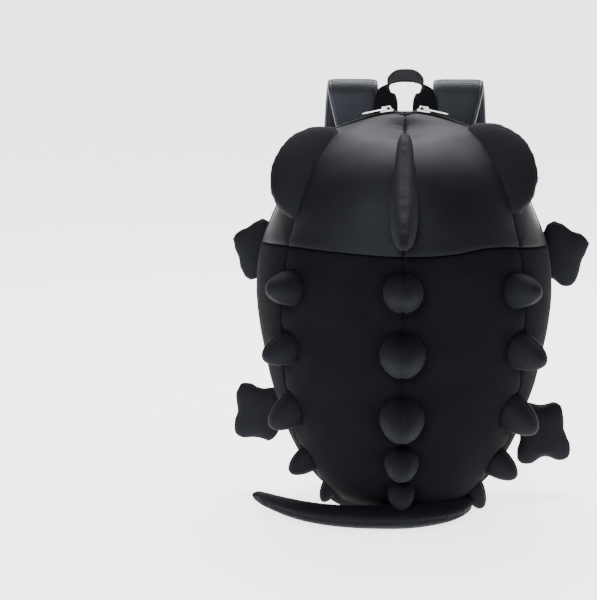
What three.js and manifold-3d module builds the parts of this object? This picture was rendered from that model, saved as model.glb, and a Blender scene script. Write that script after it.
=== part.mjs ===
// A child's backpack in the form of a spiny lizard, standing on its base with the animal's back
// towards -Y and the wearer's side towards +Y. Millimetres, +Z up, floor at Z = 0.
import * as THREE from 'three';
import { mergeVertices } from 'three/addons/utils/BufferGeometryUtils.js';
import { LoftGeometry } from 'three/addons/geometries/LoftGeometry.js';
import Module from 'manifold-3d';

const wasm = await Module();
wasm.setup();

// Bag shell
const bagHeight = 398;
const bagWidth = 298;
const frontReach = 86; // from the origin out to the crown of the animal's back
const rearReach = 95; // from the origin out to the wearer's side of the back panel
const wall = 3;
const gap = 0.3; // left between any two sewn pieces
const baseThickness = 4;
const padThickness = 11; // the padded back panel
const frontRoundness = 2.1; // power of the curve round the animal's back, 2 is an ellipse
const rearRoundness = 4; // the same for the boxy wearer's side
const facetsRound = 26; // round each cross section
const spikeFacets = 10;
const tailFacets = 12;

// Neck seam, a plane that climbs a little towards the animal's back
const neckHeight = bagHeight * 0.663;
const neckClimb = 0.1;

// Zip
const zipDepth = 50; // from the origin back to the line of teeth
const tapeWidth = 11;
const chainWidth = 6;
const chainRise = 1.2;
const slopeSpread = 1.35; // how much thicker a skin's cover is on the slope of the crest
const zipEndHeight = 64;
const sliderSpread = 18; // from the middle of the bag to each slider
const mouthWidth = 5; // how far the teeth stand apart between the sliders
const sliderLength = 13;
const sliderWidth = 9;
const sliderThickness = 1.6;
const bridgeHeight = 3.8;
const bridgeWidth = 2.6;
const bridgeThickness = 1.2;
const pullLength = 25;
const pullWidth = 7.5;
const pullThickness = 1.2;
const pullWindow = 5.5; // length of the pull's window round the bridge
const pullSlope = 4; // degrees that a resting pull falls below its slider's own slope

// Stuffed pieces
const finThickness = 28;
const finReach = 56; // from the head out to the fin's tip
const finTop = bagHeight * 0.955; // height at which the fin starts, near the crest
const finFoot = bagHeight * 0.724; // height at which it ends, above the neck seam
const earBulge = 45;
const earThickness = 25;
const spineSpikeWidth = 44;
const spineSpikeReach = 32;
const sideSpikeWidth = 37;
const sideSpikeReach = 32;
const footSize = 38; // from a foot's middle to the end of its longest toes
const footThickness = 21;
const footDepth = (zipDepth + rearReach) / 2; // from the origin back to the plane of the feet
const tailWidth = 50;
const tailHeight = 25;
const tailSweep = bagWidth * 0.51; // from the middle of the bag out to the tail's tip
const tailReach = 72; // from the origin forward to the middle of the tail's bow
const eyeLength = 56;
const eyeWidth = 27;
const eyeThickness = 1.6;

// Carrying
const webbingWidth = 25;
const webbingThickness = 2.4;
const handleTop = bagHeight * 1.1;
const handleSpread = 20; // from the middle of the bag to each leg of the handle
const handleFoot = bagHeight * 0.925;
const handleLean = 12; // how far the top of the handle stands behind its legs
const handleTilt = 26; // degrees that the webbing at its top tips towards the animal's back
const strapWidth = 50;
const strapThickness = 10;
const strapTop = bagHeight * 1.058;
const strapRoom = 60; // from the back panel out to the strap's furthest reach
const strapAnchor = bagHeight * 0.849; // height of the strap's sewn end
const strapEnd = bagHeight * 0.442; // height of the padded strap's lower end
const strapSpread = 55; // from the middle of the bag to the strap's crown
const anchorHeight = 40; // where the lower webbing meets the back panel
const anchorSpread = bagWidth / 4;
const adjusterLength = 24;
const adjusterWidth = 32;
const adjusterThickness = 4.5;
const adjusterBar = 3.6;

// Cross sections from the floor up. Heights are shares of bagHeight, half widths of half of bagWidth,
// fronts of frontReach, middles and rears of rearReach; seam is the place of the side seam across
// the half width.
const sections = [
  { height: 0.000, halfWidth: 0.515, front: 0.360, middle: 0.474, rear: 0.870, seam: 0.93 },
  { height: 0.020, halfWidth: 0.508, front: 0.550, middle: 0.474, rear: 0.950, seam: 0.93 },
  { height: 0.042, halfWidth: 0.500, front: 0.650, middle: 0.474, rear: 0.980, seam: 0.93 },
  { height: 0.066, halfWidth: 0.576, front: 0.740, middle: 0.474, rear: 1.000, seam: 0.93 },
  { height: 0.114, halfWidth: 0.675, front: 0.820, middle: 0.474, rear: 1.000, seam: 0.93 },
  { height: 0.176, halfWidth: 0.771, front: 0.885, middle: 0.474, rear: 1.000, seam: 0.92 },
  { height: 0.261, halfWidth: 0.847, front: 0.940, middle: 0.474, rear: 1.000, seam: 0.89 },
  { height: 0.314, halfWidth: 0.894, front: 0.965, middle: 0.474, rear: 1.000, seam: 0.87 },
  { height: 0.393, halfWidth: 0.942, front: 0.985, middle: 0.474, rear: 1.000, seam: 0.84 },
  { height: 0.472, halfWidth: 0.983, front: 1.000, middle: 0.474, rear: 1.000, seam: 0.82 },
  { height: 0.537, halfWidth: 1.000, front: 1.000, middle: 0.474, rear: 1.000, seam: 0.80 },
  { height: 0.627, halfWidth: 0.983, front: 0.985, middle: 0.474, rear: 1.000, seam: 0.80 },
  { height: 0.690, halfWidth: 0.942, front: 0.945, middle: 0.474, rear: 1.000, seam: 0.80 },
  { height: 0.750, halfWidth: 0.878, front: 0.875, middle: 0.474, rear: 1.000, seam: 0.81 },
  { height: 0.816, halfWidth: 0.793, front: 0.760, middle: 0.474, rear: 1.000, seam: 0.84 },
  { height: 0.873, halfWidth: 0.698, front: 0.600, middle: 0.474, rear: 1.000, seam: 0.88 },
  { height: 0.918, halfWidth: 0.597, front: 0.410, middle: 0.474, rear: 0.985, seam: 0.93 },
  { height: 0.956, halfWidth: 0.481, front: 0.170, middle: 0.474, rear: 0.930, seam: 1.04 },
  { height: 0.976, halfWidth: 0.339, front: -0.040, middle: 0.455, rear: 0.870, seam: 1.04 },
  { height: 0.994, halfWidth: 0.176, front: -0.270, middle: 0.440, rear: 0.760, seam: 1.04 },
  { height: 1.000, halfWidth: 0.068, front: -0.390, middle: 0.470, rear: 0.650, seam: 1.04 },
];

const group = new THREE.Group();
const up = new THREE.Vector3(0, 0, 1);
const across = new THREE.Vector3(1, 0, 0);
const far = 600; // past everything, for cutting

// Materials
const satin = { color: 0x1c1d22, roughness: 0.62, metalness: 0 };
const plush = { color: 0x16171b, roughness: 0.85, metalness: 0 };
const mesh = { color: 0x18191d, roughness: 0.9, metalness: 0 };
const woven = { color: 0x141519, roughness: 0.8, metalness: 0 };
const steel = { color: 0xb9bcc2, roughness: 0.28, metalness: 1 };
const plastic = { color: 0x101114, roughness: 0.4, metalness: 0 };
const white = { color: 0xf4f4f2, roughness: 0.6, metalness: 0 };

// Turns a closed geometry into a solid that can be joined and cut
function solid(geometry) {
  const bare = new THREE.BufferGeometry();
  bare.setAttribute('position', geometry.attributes.position);
  bare.setIndex(geometry.index);
  const merged = mergeVertices(bare, 1e-4);
  return new wasm.Manifold(new wasm.Mesh({
    numProp: 3,
    vertProperties: Float32Array.from(merged.attributes.position.array),
    triVerts: Uint32Array.from(merged.index.array),
  }));
}

// Adds a piece to the bag, from a solid or from a geometry
function addPiece(name, shape, finish, parent = group) {
  let geometry = shape;
  if (shape instanceof wasm.Manifold) {
    const result = shape.getMesh();
    geometry = new THREE.BufferGeometry();
    geometry.setAttribute('position', new THREE.BufferAttribute(result.vertProperties, 3));
    geometry.setIndex(new THREE.BufferAttribute(result.triVerts, 1));
    geometry.computeVertexNormals();
  }
  const piece = new THREE.Mesh(geometry, new THREE.MeshStandardMaterial(finish));
  piece.name = name;
  parent.add(piece);
  return piece;
}

// A cutting block between the limits given; a side that isn't given runs past everything
function block({ x = [-far, far], y = [-far, far], z = [-far, far] }) {
  const box = new THREE.BoxGeometry(x[1] - x[0], y[1] - y[0], z[1] - z[0]);
  box.translate((x[0] + x[1]) / 2, (y[0] + y[1]) / 2, (z[0] + z[1]) / 2);
  return solid(box);
}

// An outline drawn in X and Z, pushed along Y
function prismAlongY(outline, from, to) {
  const geometry = new THREE.ExtrudeGeometry(outline, { depth: to - from, bevelEnabled: false });
  geometry.rotateX(Math.PI / 2);
  geometry.translate(0, to, 0);
  return geometry;
}

// An outline drawn in Y and Z, pushed along X
function prismAlongX(outline, from, to) {
  const geometry = new THREE.ExtrudeGeometry(outline, { depth: to - from, bevelEnabled: false });
  geometry.applyMatrix4(new THREE.Matrix4().makeBasis(new THREE.Vector3(0, 1, 0), up, across));
  geometry.translate(from, 0, 0);
  return geometry;
}

function outlineOf(points) {
  return new THREE.Shape(points.map(([a, b]) => new THREE.Vector2(a, b)));
}

// The bag's surface

// A section's real sizes, moved in by an inset
function sized(row, inset) {
  const middle = row.middle * rearReach;
  return {
    height: inset + row.height * (bagHeight - 2 * inset),
    halfWidth: row.halfWidth * bagWidth / 2 - inset,
    middle,
    front: row.front * frontReach + middle - inset,
    rear: row.rear * rearReach - middle - inset,
  };
}

// The point of a section at an angle: 0 is the +X side, 90 degrees the animal's back
function roundPoint(section, angle) {
  const c = Math.cos(angle);
  const s = Math.sin(angle);
  const power = 2 / (s >= 0 ? frontRoundness : rearRoundness);
  const depth = s >= 0 ? section.front : section.rear;
  return new THREE.Vector3(
    section.halfWidth * Math.sign(c) * Math.abs(c) ** power,
    section.middle - depth * Math.sign(s) * Math.abs(s) ** power,
    section.height,
  );
}

function shell(inset) {
  const rings = sections.map((row) => {
    const section = sized(row, inset);
    return Array.from({ length: facetsRound }, (_, i) =>
      roundPoint(section, -i / facetsRound * 2 * Math.PI));
  });
  return solid(new LoftGeometry(rings, { capStart: true, capEnd: true }));
}

// The section at any height
function sectionAt(height) {
  const share = height / bagHeight;
  const next = Math.max(1, sections.findIndex((row) => row.height >= share));
  const low = sections[next - 1];
  const high = sections[next];
  const t = (share - low.height) / (high.height - low.height);
  const row = {};
  for (const key of Object.keys(low)) row[key] = low[key] + (high[key] - low[key]) * t;
  return { ...sized(row, 0), seam: row.seam, height };
}

// A point on the bag and the way out of it; the angle is in degrees
function onBag(height, angle) {
  const turn = THREE.MathUtils.degToRad(angle);
  const step = 4;
  const turnStep = 0.03;
  const section = sectionAt(height);
  const above = roundPoint(sectionAt(height + step), turn);
  const below = roundPoint(sectionAt(height - step), turn);
  const next = roundPoint(section, turn + turnStep);
  const last = roundPoint(section, turn - turnStep);
  return { place: roundPoint(section, turn), out: above.sub(below).cross(next.sub(last)).normalize() };
}

const outer = shell(0);
const inner = shell(wall);
const outside = shell(-gap);
const skin = outer.subtract(inner);

// Sewn panels of the shell

// Everything between the two side seams, drawn in by a margin
function betweenSeams(margin) {
  const right = sections.map((row) => {
    const section = sized(row, 0);
    return [section.halfWidth * row.seam - margin, section.height];
  });
  right[0][1] = -far;
  right.push([right[right.length - 1][0], far]);
  const left = right.map(([x, z]) => [-x, z]).reverse();
  return solid(prismAlongY(outlineOf([...right, ...left]), -far, far));
}

// Everything under the neck seam, raised by a margin
function underNeck(margin) {
  const level = (y) => neckHeight + margin + (zipDepth - y) * neckClimb;
  const outline = outlineOf([[-far, -far], [far, -far], [far, level(far)], [-far, level(-far)]]);
  return solid(prismAlongX(outline, -far, far));
}

const tapeFront = zipDepth - tapeWidth;
const tapeRear = zipDepth + tapeWidth;
const panelFace = rearReach - padThickness;
const frontShell = skin.intersect(block({ y: [-far, tapeFront - gap], z: [baseThickness + gap, far] }));
const headPart = frontShell.subtract(underNeck(gap));
const bodyPart = frontShell.intersect(underNeck(0));
const midZone = betweenSeams(gap / 2);
const midZoneGrown = betweenSeams(-gap / 2);
const leftHalf = block({ x: [-far, -gap / 2] });
const rightHalf = block({ x: [gap / 2, far] });
for (const [side, half] of [['left', leftHalf], ['right', rightHalf]]) {
  addPiece(`head_panel_${side}`, headPart.intersect(midZone).intersect(half), satin);
  addPiece(`cheek_panel_${side}`, headPart.subtract(midZoneGrown).intersect(half), satin);
  addPiece(`spine_panel_${side}`, bodyPart.intersect(midZone).intersect(half), satin);
  addPiece(`side_panel_${side}`, bodyPart.subtract(midZoneGrown).intersect(half), satin);
}
addPiece('base_panel', outer.intersect(block({
  y: [-far, panelFace - gap],
  z: [-far, baseThickness],
})), satin);
addPiece('rear_gusset', skin.intersect(block({
  y: [tapeRear + gap, panelFace - gap],
  z: [baseThickness + gap, far],
})), satin);
addPiece('back_panel', outer.intersect(block({ y: [panelFace, far] })), mesh);

// The zip: two tapes over the top, and a plain panel under their ends on each side

// The mouth between the sliders, where the teeth stand apart
function mouth() {
  const shape = new THREE.Shape();
  shape.moveTo(-sliderSpread, -gap / 2);
  shape.quadraticCurveTo(0, -mouthWidth, sliderSpread, -gap / 2);
  shape.lineTo(sliderSpread, gap / 2);
  shape.quadraticCurveTo(0, mouthWidth, -sliderSpread, gap / 2);
  const geometry = new THREE.ExtrudeGeometry(shape, {
    depth: bagHeight, bevelEnabled: false, curveSegments: 6,
  });
  geometry.translate(0, zipDepth, bagHeight / 2);
  return solid(geometry);
}

const band = skin.intersect(block({ y: [tapeFront, tapeRear] }));
const zipPart = band.intersect(block({ z: [zipEndHeight, far] })).subtract(mouth());
addPiece('zip_tape_front', zipPart.intersect(block({ y: [-far, zipDepth - gap / 2] })), woven);
addPiece('zip_tape_rear', zipPart.intersect(block({ y: [zipDepth + gap / 2, far] })), woven);
const endPart = band.intersect(block({ z: [baseThickness + gap, zipEndHeight - gap] }));
addPiece('zip_end_panel_left', endPart.intersect(leftHalf), satin);
addPiece('zip_end_panel_right', endPart.intersect(rightHalf), satin);
const chainCover = shell(-gap - chainRise).subtract(outside).intersect(block({
  y: [zipDepth - chainWidth / 2, zipDepth + chainWidth / 2],
  z: [zipEndHeight, far],
}));
addPiece('zip_chain_left', chainCover.intersect(block({ x: [-far, -sliderSpread] })), woven);
addPiece('zip_chain_right', chainCover.intersect(block({ x: [sliderSpread, far] })), woven);

// Sliders and pulls

// The height of the skin over the line of teeth, at a distance from the middle
function crestHeight(x) {
  const reach = (section) => section.halfWidth * (1 - Math.min(1, Math.max(0,
    (section.middle - zipDepth) / section.front)) ** frontRoundness) ** (1 / frontRoundness);
  let low = bagHeight / 2;
  let high = bagHeight;
  for (let i = 0; i < 30; i += 1) {
    const middle = (low + high) / 2;
    if (reach(sectionAt(middle)) > x) low = middle;
    else high = middle;
  }
  return low;
}

const sliderSlope = Math.atan2(
  crestHeight(sliderSpread) - crestHeight(sliderSpread + sliderLength / 2),
  sliderLength / 2,
);
const sliderSeat = (gap + chainRise) * slopeSpread + gap;
const pivotRise = sliderSeat + sliderThickness + (bridgeHeight - bridgeThickness) / 2;

// A slider's plate with its bridge, an arch that the pull hangs on
function sliderGeometry() {
  const plate = new THREE.Shape();
  const half = sliderLength / 2;
  plate.moveTo(-half, 0);
  plate.lineTo(half, 0);
  plate.lineTo(half, sliderThickness);
  plate.lineTo(-half, sliderThickness);
  const arch = new THREE.Shape();
  const reach = half - 1;
  arch.moveTo(-reach, sliderThickness / 2);
  arch.lineTo(-reach + bridgeThickness, sliderThickness + bridgeHeight);
  arch.lineTo(reach - bridgeThickness, sliderThickness + bridgeHeight);
  arch.lineTo(reach, sliderThickness / 2);
  arch.lineTo(reach - bridgeThickness, sliderThickness / 2);
  arch.lineTo(reach - 2 * bridgeThickness, sliderThickness + bridgeHeight - bridgeThickness);
  arch.lineTo(-reach + 2 * bridgeThickness, sliderThickness + bridgeHeight - bridgeThickness);
  arch.lineTo(-reach + bridgeThickness, sliderThickness / 2);
  return solid(prismAlongY(plate, -sliderWidth / 2, sliderWidth / 2))
    .add(solid(prismAlongY(arch, -bridgeWidth / 2, bridgeWidth / 2)));
}

// A pull: a rounded tab along +X whose window goes round the bridge, its crossbar under the arch
function pullGeometry() {
  const bar = pullThickness / 2;
  const tab = new THREE.Shape();
  const half = pullWidth / 2;
  tab.moveTo(-bar, -half);
  tab.lineTo(pullLength - half, -half);
  tab.absarc(pullLength - half, 0, half, -Math.PI / 2, Math.PI / 2);
  tab.lineTo(-bar, half);
  const window = new THREE.Path();
  const reach = bridgeWidth / 2 + 0.8;
  window.moveTo(bar, -reach);
  window.lineTo(bar, reach);
  window.lineTo(bar + pullWindow, reach);
  window.lineTo(bar + pullWindow, -reach);
  tab.holes.push(window);
  const hole = new THREE.Path();
  hole.absarc(pullLength - half, 0, half * 0.45, 0, Math.PI * 2, true);
  tab.holes.push(hole);
  const geometry = new THREE.ExtrudeGeometry(tab, {
    depth: pullThickness, bevelEnabled: false, curveSegments: 4,
  });
  geometry.translate(0, 0, -pullThickness / 2);
  return geometry;
}

for (const [side, sign] of [['left', -1], ['right', 1]]) {
  const seat = new THREE.Group();
  seat.position.set(sign * sliderSpread, zipDepth, crestHeight(sliderSpread));
  seat.rotation.set(0, sliderSlope, sign > 0 ? 0 : Math.PI, 'ZYX');
  group.add(seat);
  const slider = addPiece(`zip_slider_${side}`, sliderGeometry(), steel, seat);
  slider.position.z = sliderSeat;
  const pull = addPiece(`zip_pull_${side}`, pullGeometry(), steel, seat);
  pull.position.z = pivotRise;
  pull.rotation.y = THREE.MathUtils.degToRad(pullSlope);
}

// Stuffed pieces

// A pillow: an outline given by its radius at each angle, puffed to a thickness
function pillow(radiusAt, thickness, { points, levels }) {
  const rings = [];
  for (let i = 0; i <= levels; i += 1) {
    const level = -Math.cos((0.06 + 0.88 * i / levels) * Math.PI);
    const scale = (1 - Math.abs(level) ** 2.2) ** 0.55;
    rings.push(Array.from({ length: points }, (_, j) => {
      const angle = j / points * 2 * Math.PI;
      const radius = radiusAt(angle) * scale;
      return new THREE.Vector3(radius * Math.cos(angle), radius * Math.sin(angle), level * thickness / 2);
    }));
  }
  return new LoftGeometry(rings, { capStart: true, capEnd: true });
}

// Places a geometry made round the origin: its X, Y and Z go along the three directions
function place(geometry, at, alongX, alongY) {
  const x = alongX.clone().normalize();
  const z = x.clone().cross(alongY).normalize();
  const y = z.clone().cross(x);
  return geometry.applyMatrix4(new THREE.Matrix4().makeBasis(x, y, z).setPosition(at));
}

// A sewn-on piece starts at the bag's skin
function sewnOn(geometry) {
  return solid(geometry).subtract(outside);
}

// Fin, a blade in the plane of the spine, sewn from its foot at the neck up to its head at the crest:
// along is the share of that line, out the share of finReach, thick the share of finThickness
const finHead = onBag(finTop, 90).place;
const finNeck = onBag(finFoot, 90).place;
const finRows = [
  { along: -0.05, out: 0.78, thick: 0.52 }, { along: -0.02, out: 0.98, thick: 0.70 },
  { along: 0.05, out: 1.05, thick: 0.84 }, { along: 0.16, out: 1.03, thick: 0.95 },
  { along: 0.33, out: 0.89, thick: 1.00 }, { along: 0.56, out: 0.63, thick: 0.90 },
  { along: 0.80, out: 0.32, thick: 0.66 }, { along: 0.96, out: 0.13, thick: 0.46 },
  { along: 1.03, out: 0.02, thick: 0.30 },
];
const finRoot = 0.35; // how far the blade runs on inside the head, a share of finReach
function fin() {
  const steps = 8;
  const rings = finRows.map(({ along, out, thick }) => {
    const foot = finNeck.clone().lerp(finHead, along);
    const at = (x, away) => foot.clone()
      .add(new THREE.Vector3(x * thick * finThickness / 2, -away * finReach, 0));
    const ring = [at(-0.9, -finRoot)];
    for (let i = 0; i <= steps; i += 1) {
      const angle = (i / steps - 0.5) * Math.PI;
      ring.push(at(Math.sin(angle), Math.cos(angle) * out));
    }
    ring.push(at(0.9, -finRoot));
    return ring;
  });
  return new LoftGeometry(rings, { capStart: true, capEnd: true });
}
addPiece('head_fin', sewnOn(fin()), plush);

// Ears, half discs sewn into the seam between head and cheek: heights of their two ends are shares
// of bagHeight, angles go round the bag
const earTop = { height: 0.956, angle: 18.5 };
const earLow = { height: 0.742, angle: 36 };
const earSkew = { left: 0.08, right: 0.17 }; // how far the bulge sits towards the ear's upper end
function ear(sign) {
  const turned = (angle) => (sign > 0 ? angle : 180 - angle);
  const top = onBag(earTop.height * bagHeight, turned(earTop.angle)).place;
  const low = onBag(earLow.height * bagHeight, turned(earLow.angle)).place;
  const middle = top.clone().add(low).multiplyScalar(0.5);
  const chord = top.clone().sub(low);
  const radiusAt = (angle) => {
    const reach = Math.sin(angle) > 0 ? earBulge : earBulge * 0.35;
    const skewed = 1 + Math.cos(angle) * (sign > 0 ? earSkew.right : earSkew.left);
    return skewed / Math.hypot(Math.cos(angle) / (chord.length() / 2), Math.sin(angle) / reach);
  };
  const halfDisc = pillow(radiusAt, earThickness, { points: 20, levels: 5 });
  return place(halfDisc, middle, chord, across.clone().multiplyScalar(sign));
}
addPiece('ear_left', sewnOn(ear(-1)), plush);
addPiece('ear_right', sewnOn(ear(1)), plush);

// Tail, lying on the floor in a bow in front of the base. Places are shares of tailSweep across and
// of tailReach forward, sizes of its width and height at the root.
const tailRoute = [
  { across: 0.30, forward: -0.10, width: 1.00, height: 0.90, lift: 0 },
  { across: 0.31, forward: 0.34, width: 1.00, height: 1.00, lift: 0 },
  { across: 0.22, forward: 0.70, width: 0.94, height: 1.00, lift: 0 },
  { across: 0.05, forward: 0.93, width: 0.86, height: 1.00, lift: 0 },
  { across: -0.15, forward: 1.00, width: 0.80, height: 1.00, lift: 0 },
  { across: -0.37, forward: 0.98, width: 0.74, height: 0.98, lift: 0 },
  { across: -0.59, forward: 0.82, width: 0.66, height: 0.92, lift: 0.04 },
  { across: -0.80, forward: 0.50, width: 0.50, height: 0.78, lift: 0.15 },
  { across: -0.94, forward: 0.19, width: 0.32, height: 0.56, lift: 0.30 },
  { across: -0.99, forward: 0.07, width: 0.14, height: 0.26, lift: 0.46 },
];
function tail(margin) {
  const line = new THREE.CatmullRomCurve3(tailRoute.map((row) => new THREE.Vector3(
    row.across * tailSweep,
    -row.forward * tailReach,
    (row.height / 2 + row.lift) * tailHeight,
  )));
  const rings = tailRoute.map((row, i) => {
    const t = i / (tailRoute.length - 1);
    const side = up.clone().cross(line.getTangent(t)).normalize();
    const centre = line.getPoint(t);
    return Array.from({ length: tailFacets }, (_, j) => {
      const angle = j / tailFacets * 2 * Math.PI;
      return centre.clone()
        .addScaledVector(side, Math.cos(angle) * (row.width * tailWidth / 2 + margin))
        .addScaledVector(up, Math.sin(angle) * (row.height * tailHeight / 2 + margin));
    });
  });
  return new LoftGeometry(rings, { capStart: true, capEnd: true });
}
const tailFlat = 1.2; // how much of the tail's underside the floor presses flat
const tailCut = (margin) => solid(tail(margin).translate(0, 0, -tailFlat)).intersect(block({ z: [0, far] }));
const tailRoom = tailCut(gap);
addPiece('tail', tailCut(0).subtract(outside), plush);

// A stuffed cone with a rounded tip, its foot sunk to meet the bag
function spike(width, reach, sink) {
  const half = width / 2;
  const profile = [
    [0, -sink], [half, -sink], [half, 0], [half * 0.84, reach * 0.36], [half * 0.62, reach * 0.72],
    [half * 0.36, reach * 0.94], [0, reach],
  ].map(([r, z]) => new THREE.Vector2(r, z));
  const geometry = new THREE.LatheGeometry(profile, spikeFacets);
  geometry.rotateX(Math.PI / 2);
  return geometry;
}

// Sews a spike on the bag, leaning down by a share of its reach
function addSpike(name, { height, angle, size, lean }, width, reach) {
  const { place: foot, out } = onBag(height, angle);
  out.addScaledVector(up, -lean).normalize();
  const geometry = spike(width * size, reach * size, width * size * 0.45);
  const turn = new THREE.Quaternion().setFromUnitVectors(up, out);
  geometry.applyQuaternion(turn);
  geometry.translate(foot.x, foot.y, foot.z);
  addPiece(name, sewnOn(geometry).subtract(tailRoom), plush);
}

// Heights are shares of bagHeight, sizes of the largest spike
const spineSpikes = [
  { height: 0.598, size: 0.88, lean: 0.05 },
  { height: 0.446, size: 1.00, lean: 0.10 },
  { height: 0.286, size: 0.99, lean: 0.22 },
  { height: 0.172, size: 0.76, lean: 0.20 },
  { height: 0.088, size: 0.60, lean: 0.25 },
];
spineSpikes.forEach((row, i) => {
  const seat = { ...row, height: row.height * bagHeight, angle: 90 };
  addSpike(`spine_spike_${i + 1}`, seat, spineSpikeWidth, spineSpikeReach);
});
const sideSpikes = [
  { height: 0.590, angle: 43, lean: 0.00, left: 0.94, right: 0.94 },
  { height: 0.436, angle: 38, lean: 0.10, left: 0.90, right: 1.00 },
  { height: 0.271, angle: 32, lean: 0.25, left: 0.92, right: 1.00 },
  { height: 0.134, angle: 27, lean: 0.05, left: 0.72, right: 0.82 },
  { height: 0.060, angle: 30, lean: 0.30, left: 0.50, right: 0.64 },
];
for (const side of ['left', 'right']) {
  sideSpikes.forEach((row, i) => {
    const angle = side === 'left' ? 180 - row.angle : row.angle;
    const seat = { height: row.height * bagHeight, angle, size: row[side], lean: row.lean };
    addSpike(`side_spike_${side}_${i + 1}`, seat, sideSpikeWidth, sideSpikeReach);
  });
}

// Feet: flat stuffed paws with three toes and an ankle that runs into the side of the bag. Out is how
// far a foot's middle stands beyond the side and reach a toe's length, in shares of footSize; heights
// are shares of bagHeight; ankle and turn are angles seen from the front.
const feet = [
  {
    name: 'front_foot_left', side: -1, out: 0.14, height: 0.641, ankle: -30,
    toes: [{ turn: 78, reach: 0.87 }, { turn: 151, reach: 0.80 }, { turn: 254, reach: 0.95 }],
  },
  {
    name: 'front_foot_right', side: 1, out: 0.42, height: 0.641, ankle: 214,
    toes: [{ turn: 107, reach: 0.89 }, { turn: 24, reach: 0.83 }, { turn: -76, reach: 1.04 }],
  },
  {
    name: 'rear_foot_left', side: -1, out: 0.80, height: 0.204, ankle: 30,
    toes: [{ turn: 123, reach: 0.96 }, { turn: 229, reach: 0.97 }, { turn: 293, reach: 0.92 }],
  },
  {
    name: 'rear_foot_right', side: 1, out: 0.94, height: 0.157, ankle: 132,
    toes: [{ turn: 66, reach: 0.95 }, { turn: -45, reach: 1.02 }, { turn: 236, reach: 1.08 }],
  },
];
const toeWidth = 29; // degrees
const palm = 0.54; // share of footSize
const ankleReach = 1.05; // share of footSize
function foot({ side, out, height, ankle, toes }) {
  const bump = (angle, direction, length, width) => {
    const turn = THREE.MathUtils.euclideanModulo(angle - direction + 180, 360) - 180;
    return length * Math.exp(-((turn / width) ** 2));
  };
  const radiusAt = (radians) => {
    const angle = THREE.MathUtils.radToDeg(radians);
    const toe = Math.max(...toes.map(({ turn, reach }) => bump(angle, turn, reach - palm, toeWidth)));
    return footSize * (palm + Math.max(toe, bump(angle, ankle, ankleReach - palm, toeWidth * 1.3)));
  };
  const section = sectionAt(height * bagHeight);
  const at = new THREE.Vector3(side * (section.halfWidth + out * footSize), footDepth, section.height);
  return place(pillow(radiusAt, footThickness, { points: 30, levels: 4 }), at, across, up);
}
for (const row of feet) addPiece(row.name, sewnOn(foot(row)), plush);

// Eyes, leaf-shaped patches on the cheeks
const eyeSeat = { height: 0.845, angle: 11 }; // share of bagHeight, degrees round the bag
function eye(sign) {
  const angle = sign > 0 ? eyeSeat.angle : 180 - eyeSeat.angle;
  const { place: at, out } = onBag(eyeSeat.height * bagHeight, angle);
  const leaf = new THREE.Shape();
  const half = eyeLength / 2;
  leaf.moveTo(-half, 0);
  leaf.quadraticCurveTo(0, sign * eyeWidth * 0.5, half, 0);
  leaf.quadraticCurveTo(0, -sign * eyeWidth * 1.5, -half, 0);
  const geometry = new THREE.ExtrudeGeometry(leaf, { depth: 60, bevelEnabled: false, curveSegments: 6 });
  geometry.translate(0, 0, -40);
  const slant = new THREE.Vector3(0, 0.6, 1).projectOnPlane(out).normalize();
  const y = out.clone().cross(slant);
  geometry.applyMatrix4(new THREE.Matrix4().makeBasis(slant, y, out).setPosition(at));
  return shell(-gap - eyeThickness).subtract(outside).intersect(solid(geometry));
}

// Carrying

// A flat band through stations: each has its middle, the way across it, its width and thickness
function bandThrough(stations) {
  const rings = stations.map(({ at, wide, width, thickness }, i) => {
    const before = stations[Math.max(0, i - 1)].at;
    const after = stations[Math.min(stations.length - 1, i + 1)].at;
    const along = after.clone().sub(before).normalize();
    const side = wide.clone().addScaledVector(along, -wide.dot(along)).normalize();
    const face = side.clone().cross(along);
    const bevel = Math.min(thickness * 0.35, width * 0.1);
    const corners = [
      [1, 1, -bevel, 0], [1, 1, 0, -bevel], [1, -1, 0, bevel], [1, -1, -bevel, 0],
      [-1, -1, bevel, 0], [-1, -1, 0, bevel], [-1, 1, 0, -bevel], [-1, 1, bevel, 0],
    ];
    return corners.map(([a, b, da, db]) => at.clone()
      .addScaledVector(side, a * width / 2 + da)
      .addScaledVector(face, b * thickness / 2 + db));
  });
  return new LoftGeometry(rings, { capStart: true, capEnd: true });
}

// Handle: webbing sewn flat at both ends, turned on edge over its legs and tipped at its top
const handleBase = rearReach + gap + webbingThickness / 2;
const turnStart = 0.48; // share of the rise at which the legs start to turn
const turnRun = 0.44; // share of the rise over which they turn
function handle() {
  const steps = 18;
  const tilt = THREE.MathUtils.degToRad(handleTilt);
  const top = handleTop - webbingThickness / 2 - webbingWidth / 2 * Math.sin(tilt);
  const stations = [];
  for (let i = 0; i <= steps; i += 1) {
    const t = i / steps * 2 - 1;
    const rise = 1 - Math.abs(t) ** 2.6;
    const quarter = Math.min(1, Math.max(0, (rise - turnStart) / turnRun)) * Math.PI / 2;
    const turn = t < 0 ? quarter : Math.PI - quarter;
    stations.push({
      at: new THREE.Vector3(
        handleSpread * Math.sign(t) * Math.min(1, Math.abs(t) * 1.7) ** 0.8,
        handleBase + rise * handleLean,
        handleFoot + rise * (top - handleFoot),
      ),
      wide: up.clone().multiplyScalar(Math.sin(tilt)).add(new THREE.Vector3(0, Math.cos(tilt), 0))
        .multiplyScalar(Math.sin(turn)).addScaledVector(across, Math.cos(turn)),
      width: webbingWidth,
      thickness: webbingThickness,
    });
  }
  return bandThrough(stations);
}
addPiece('handle', handle(), woven);

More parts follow.
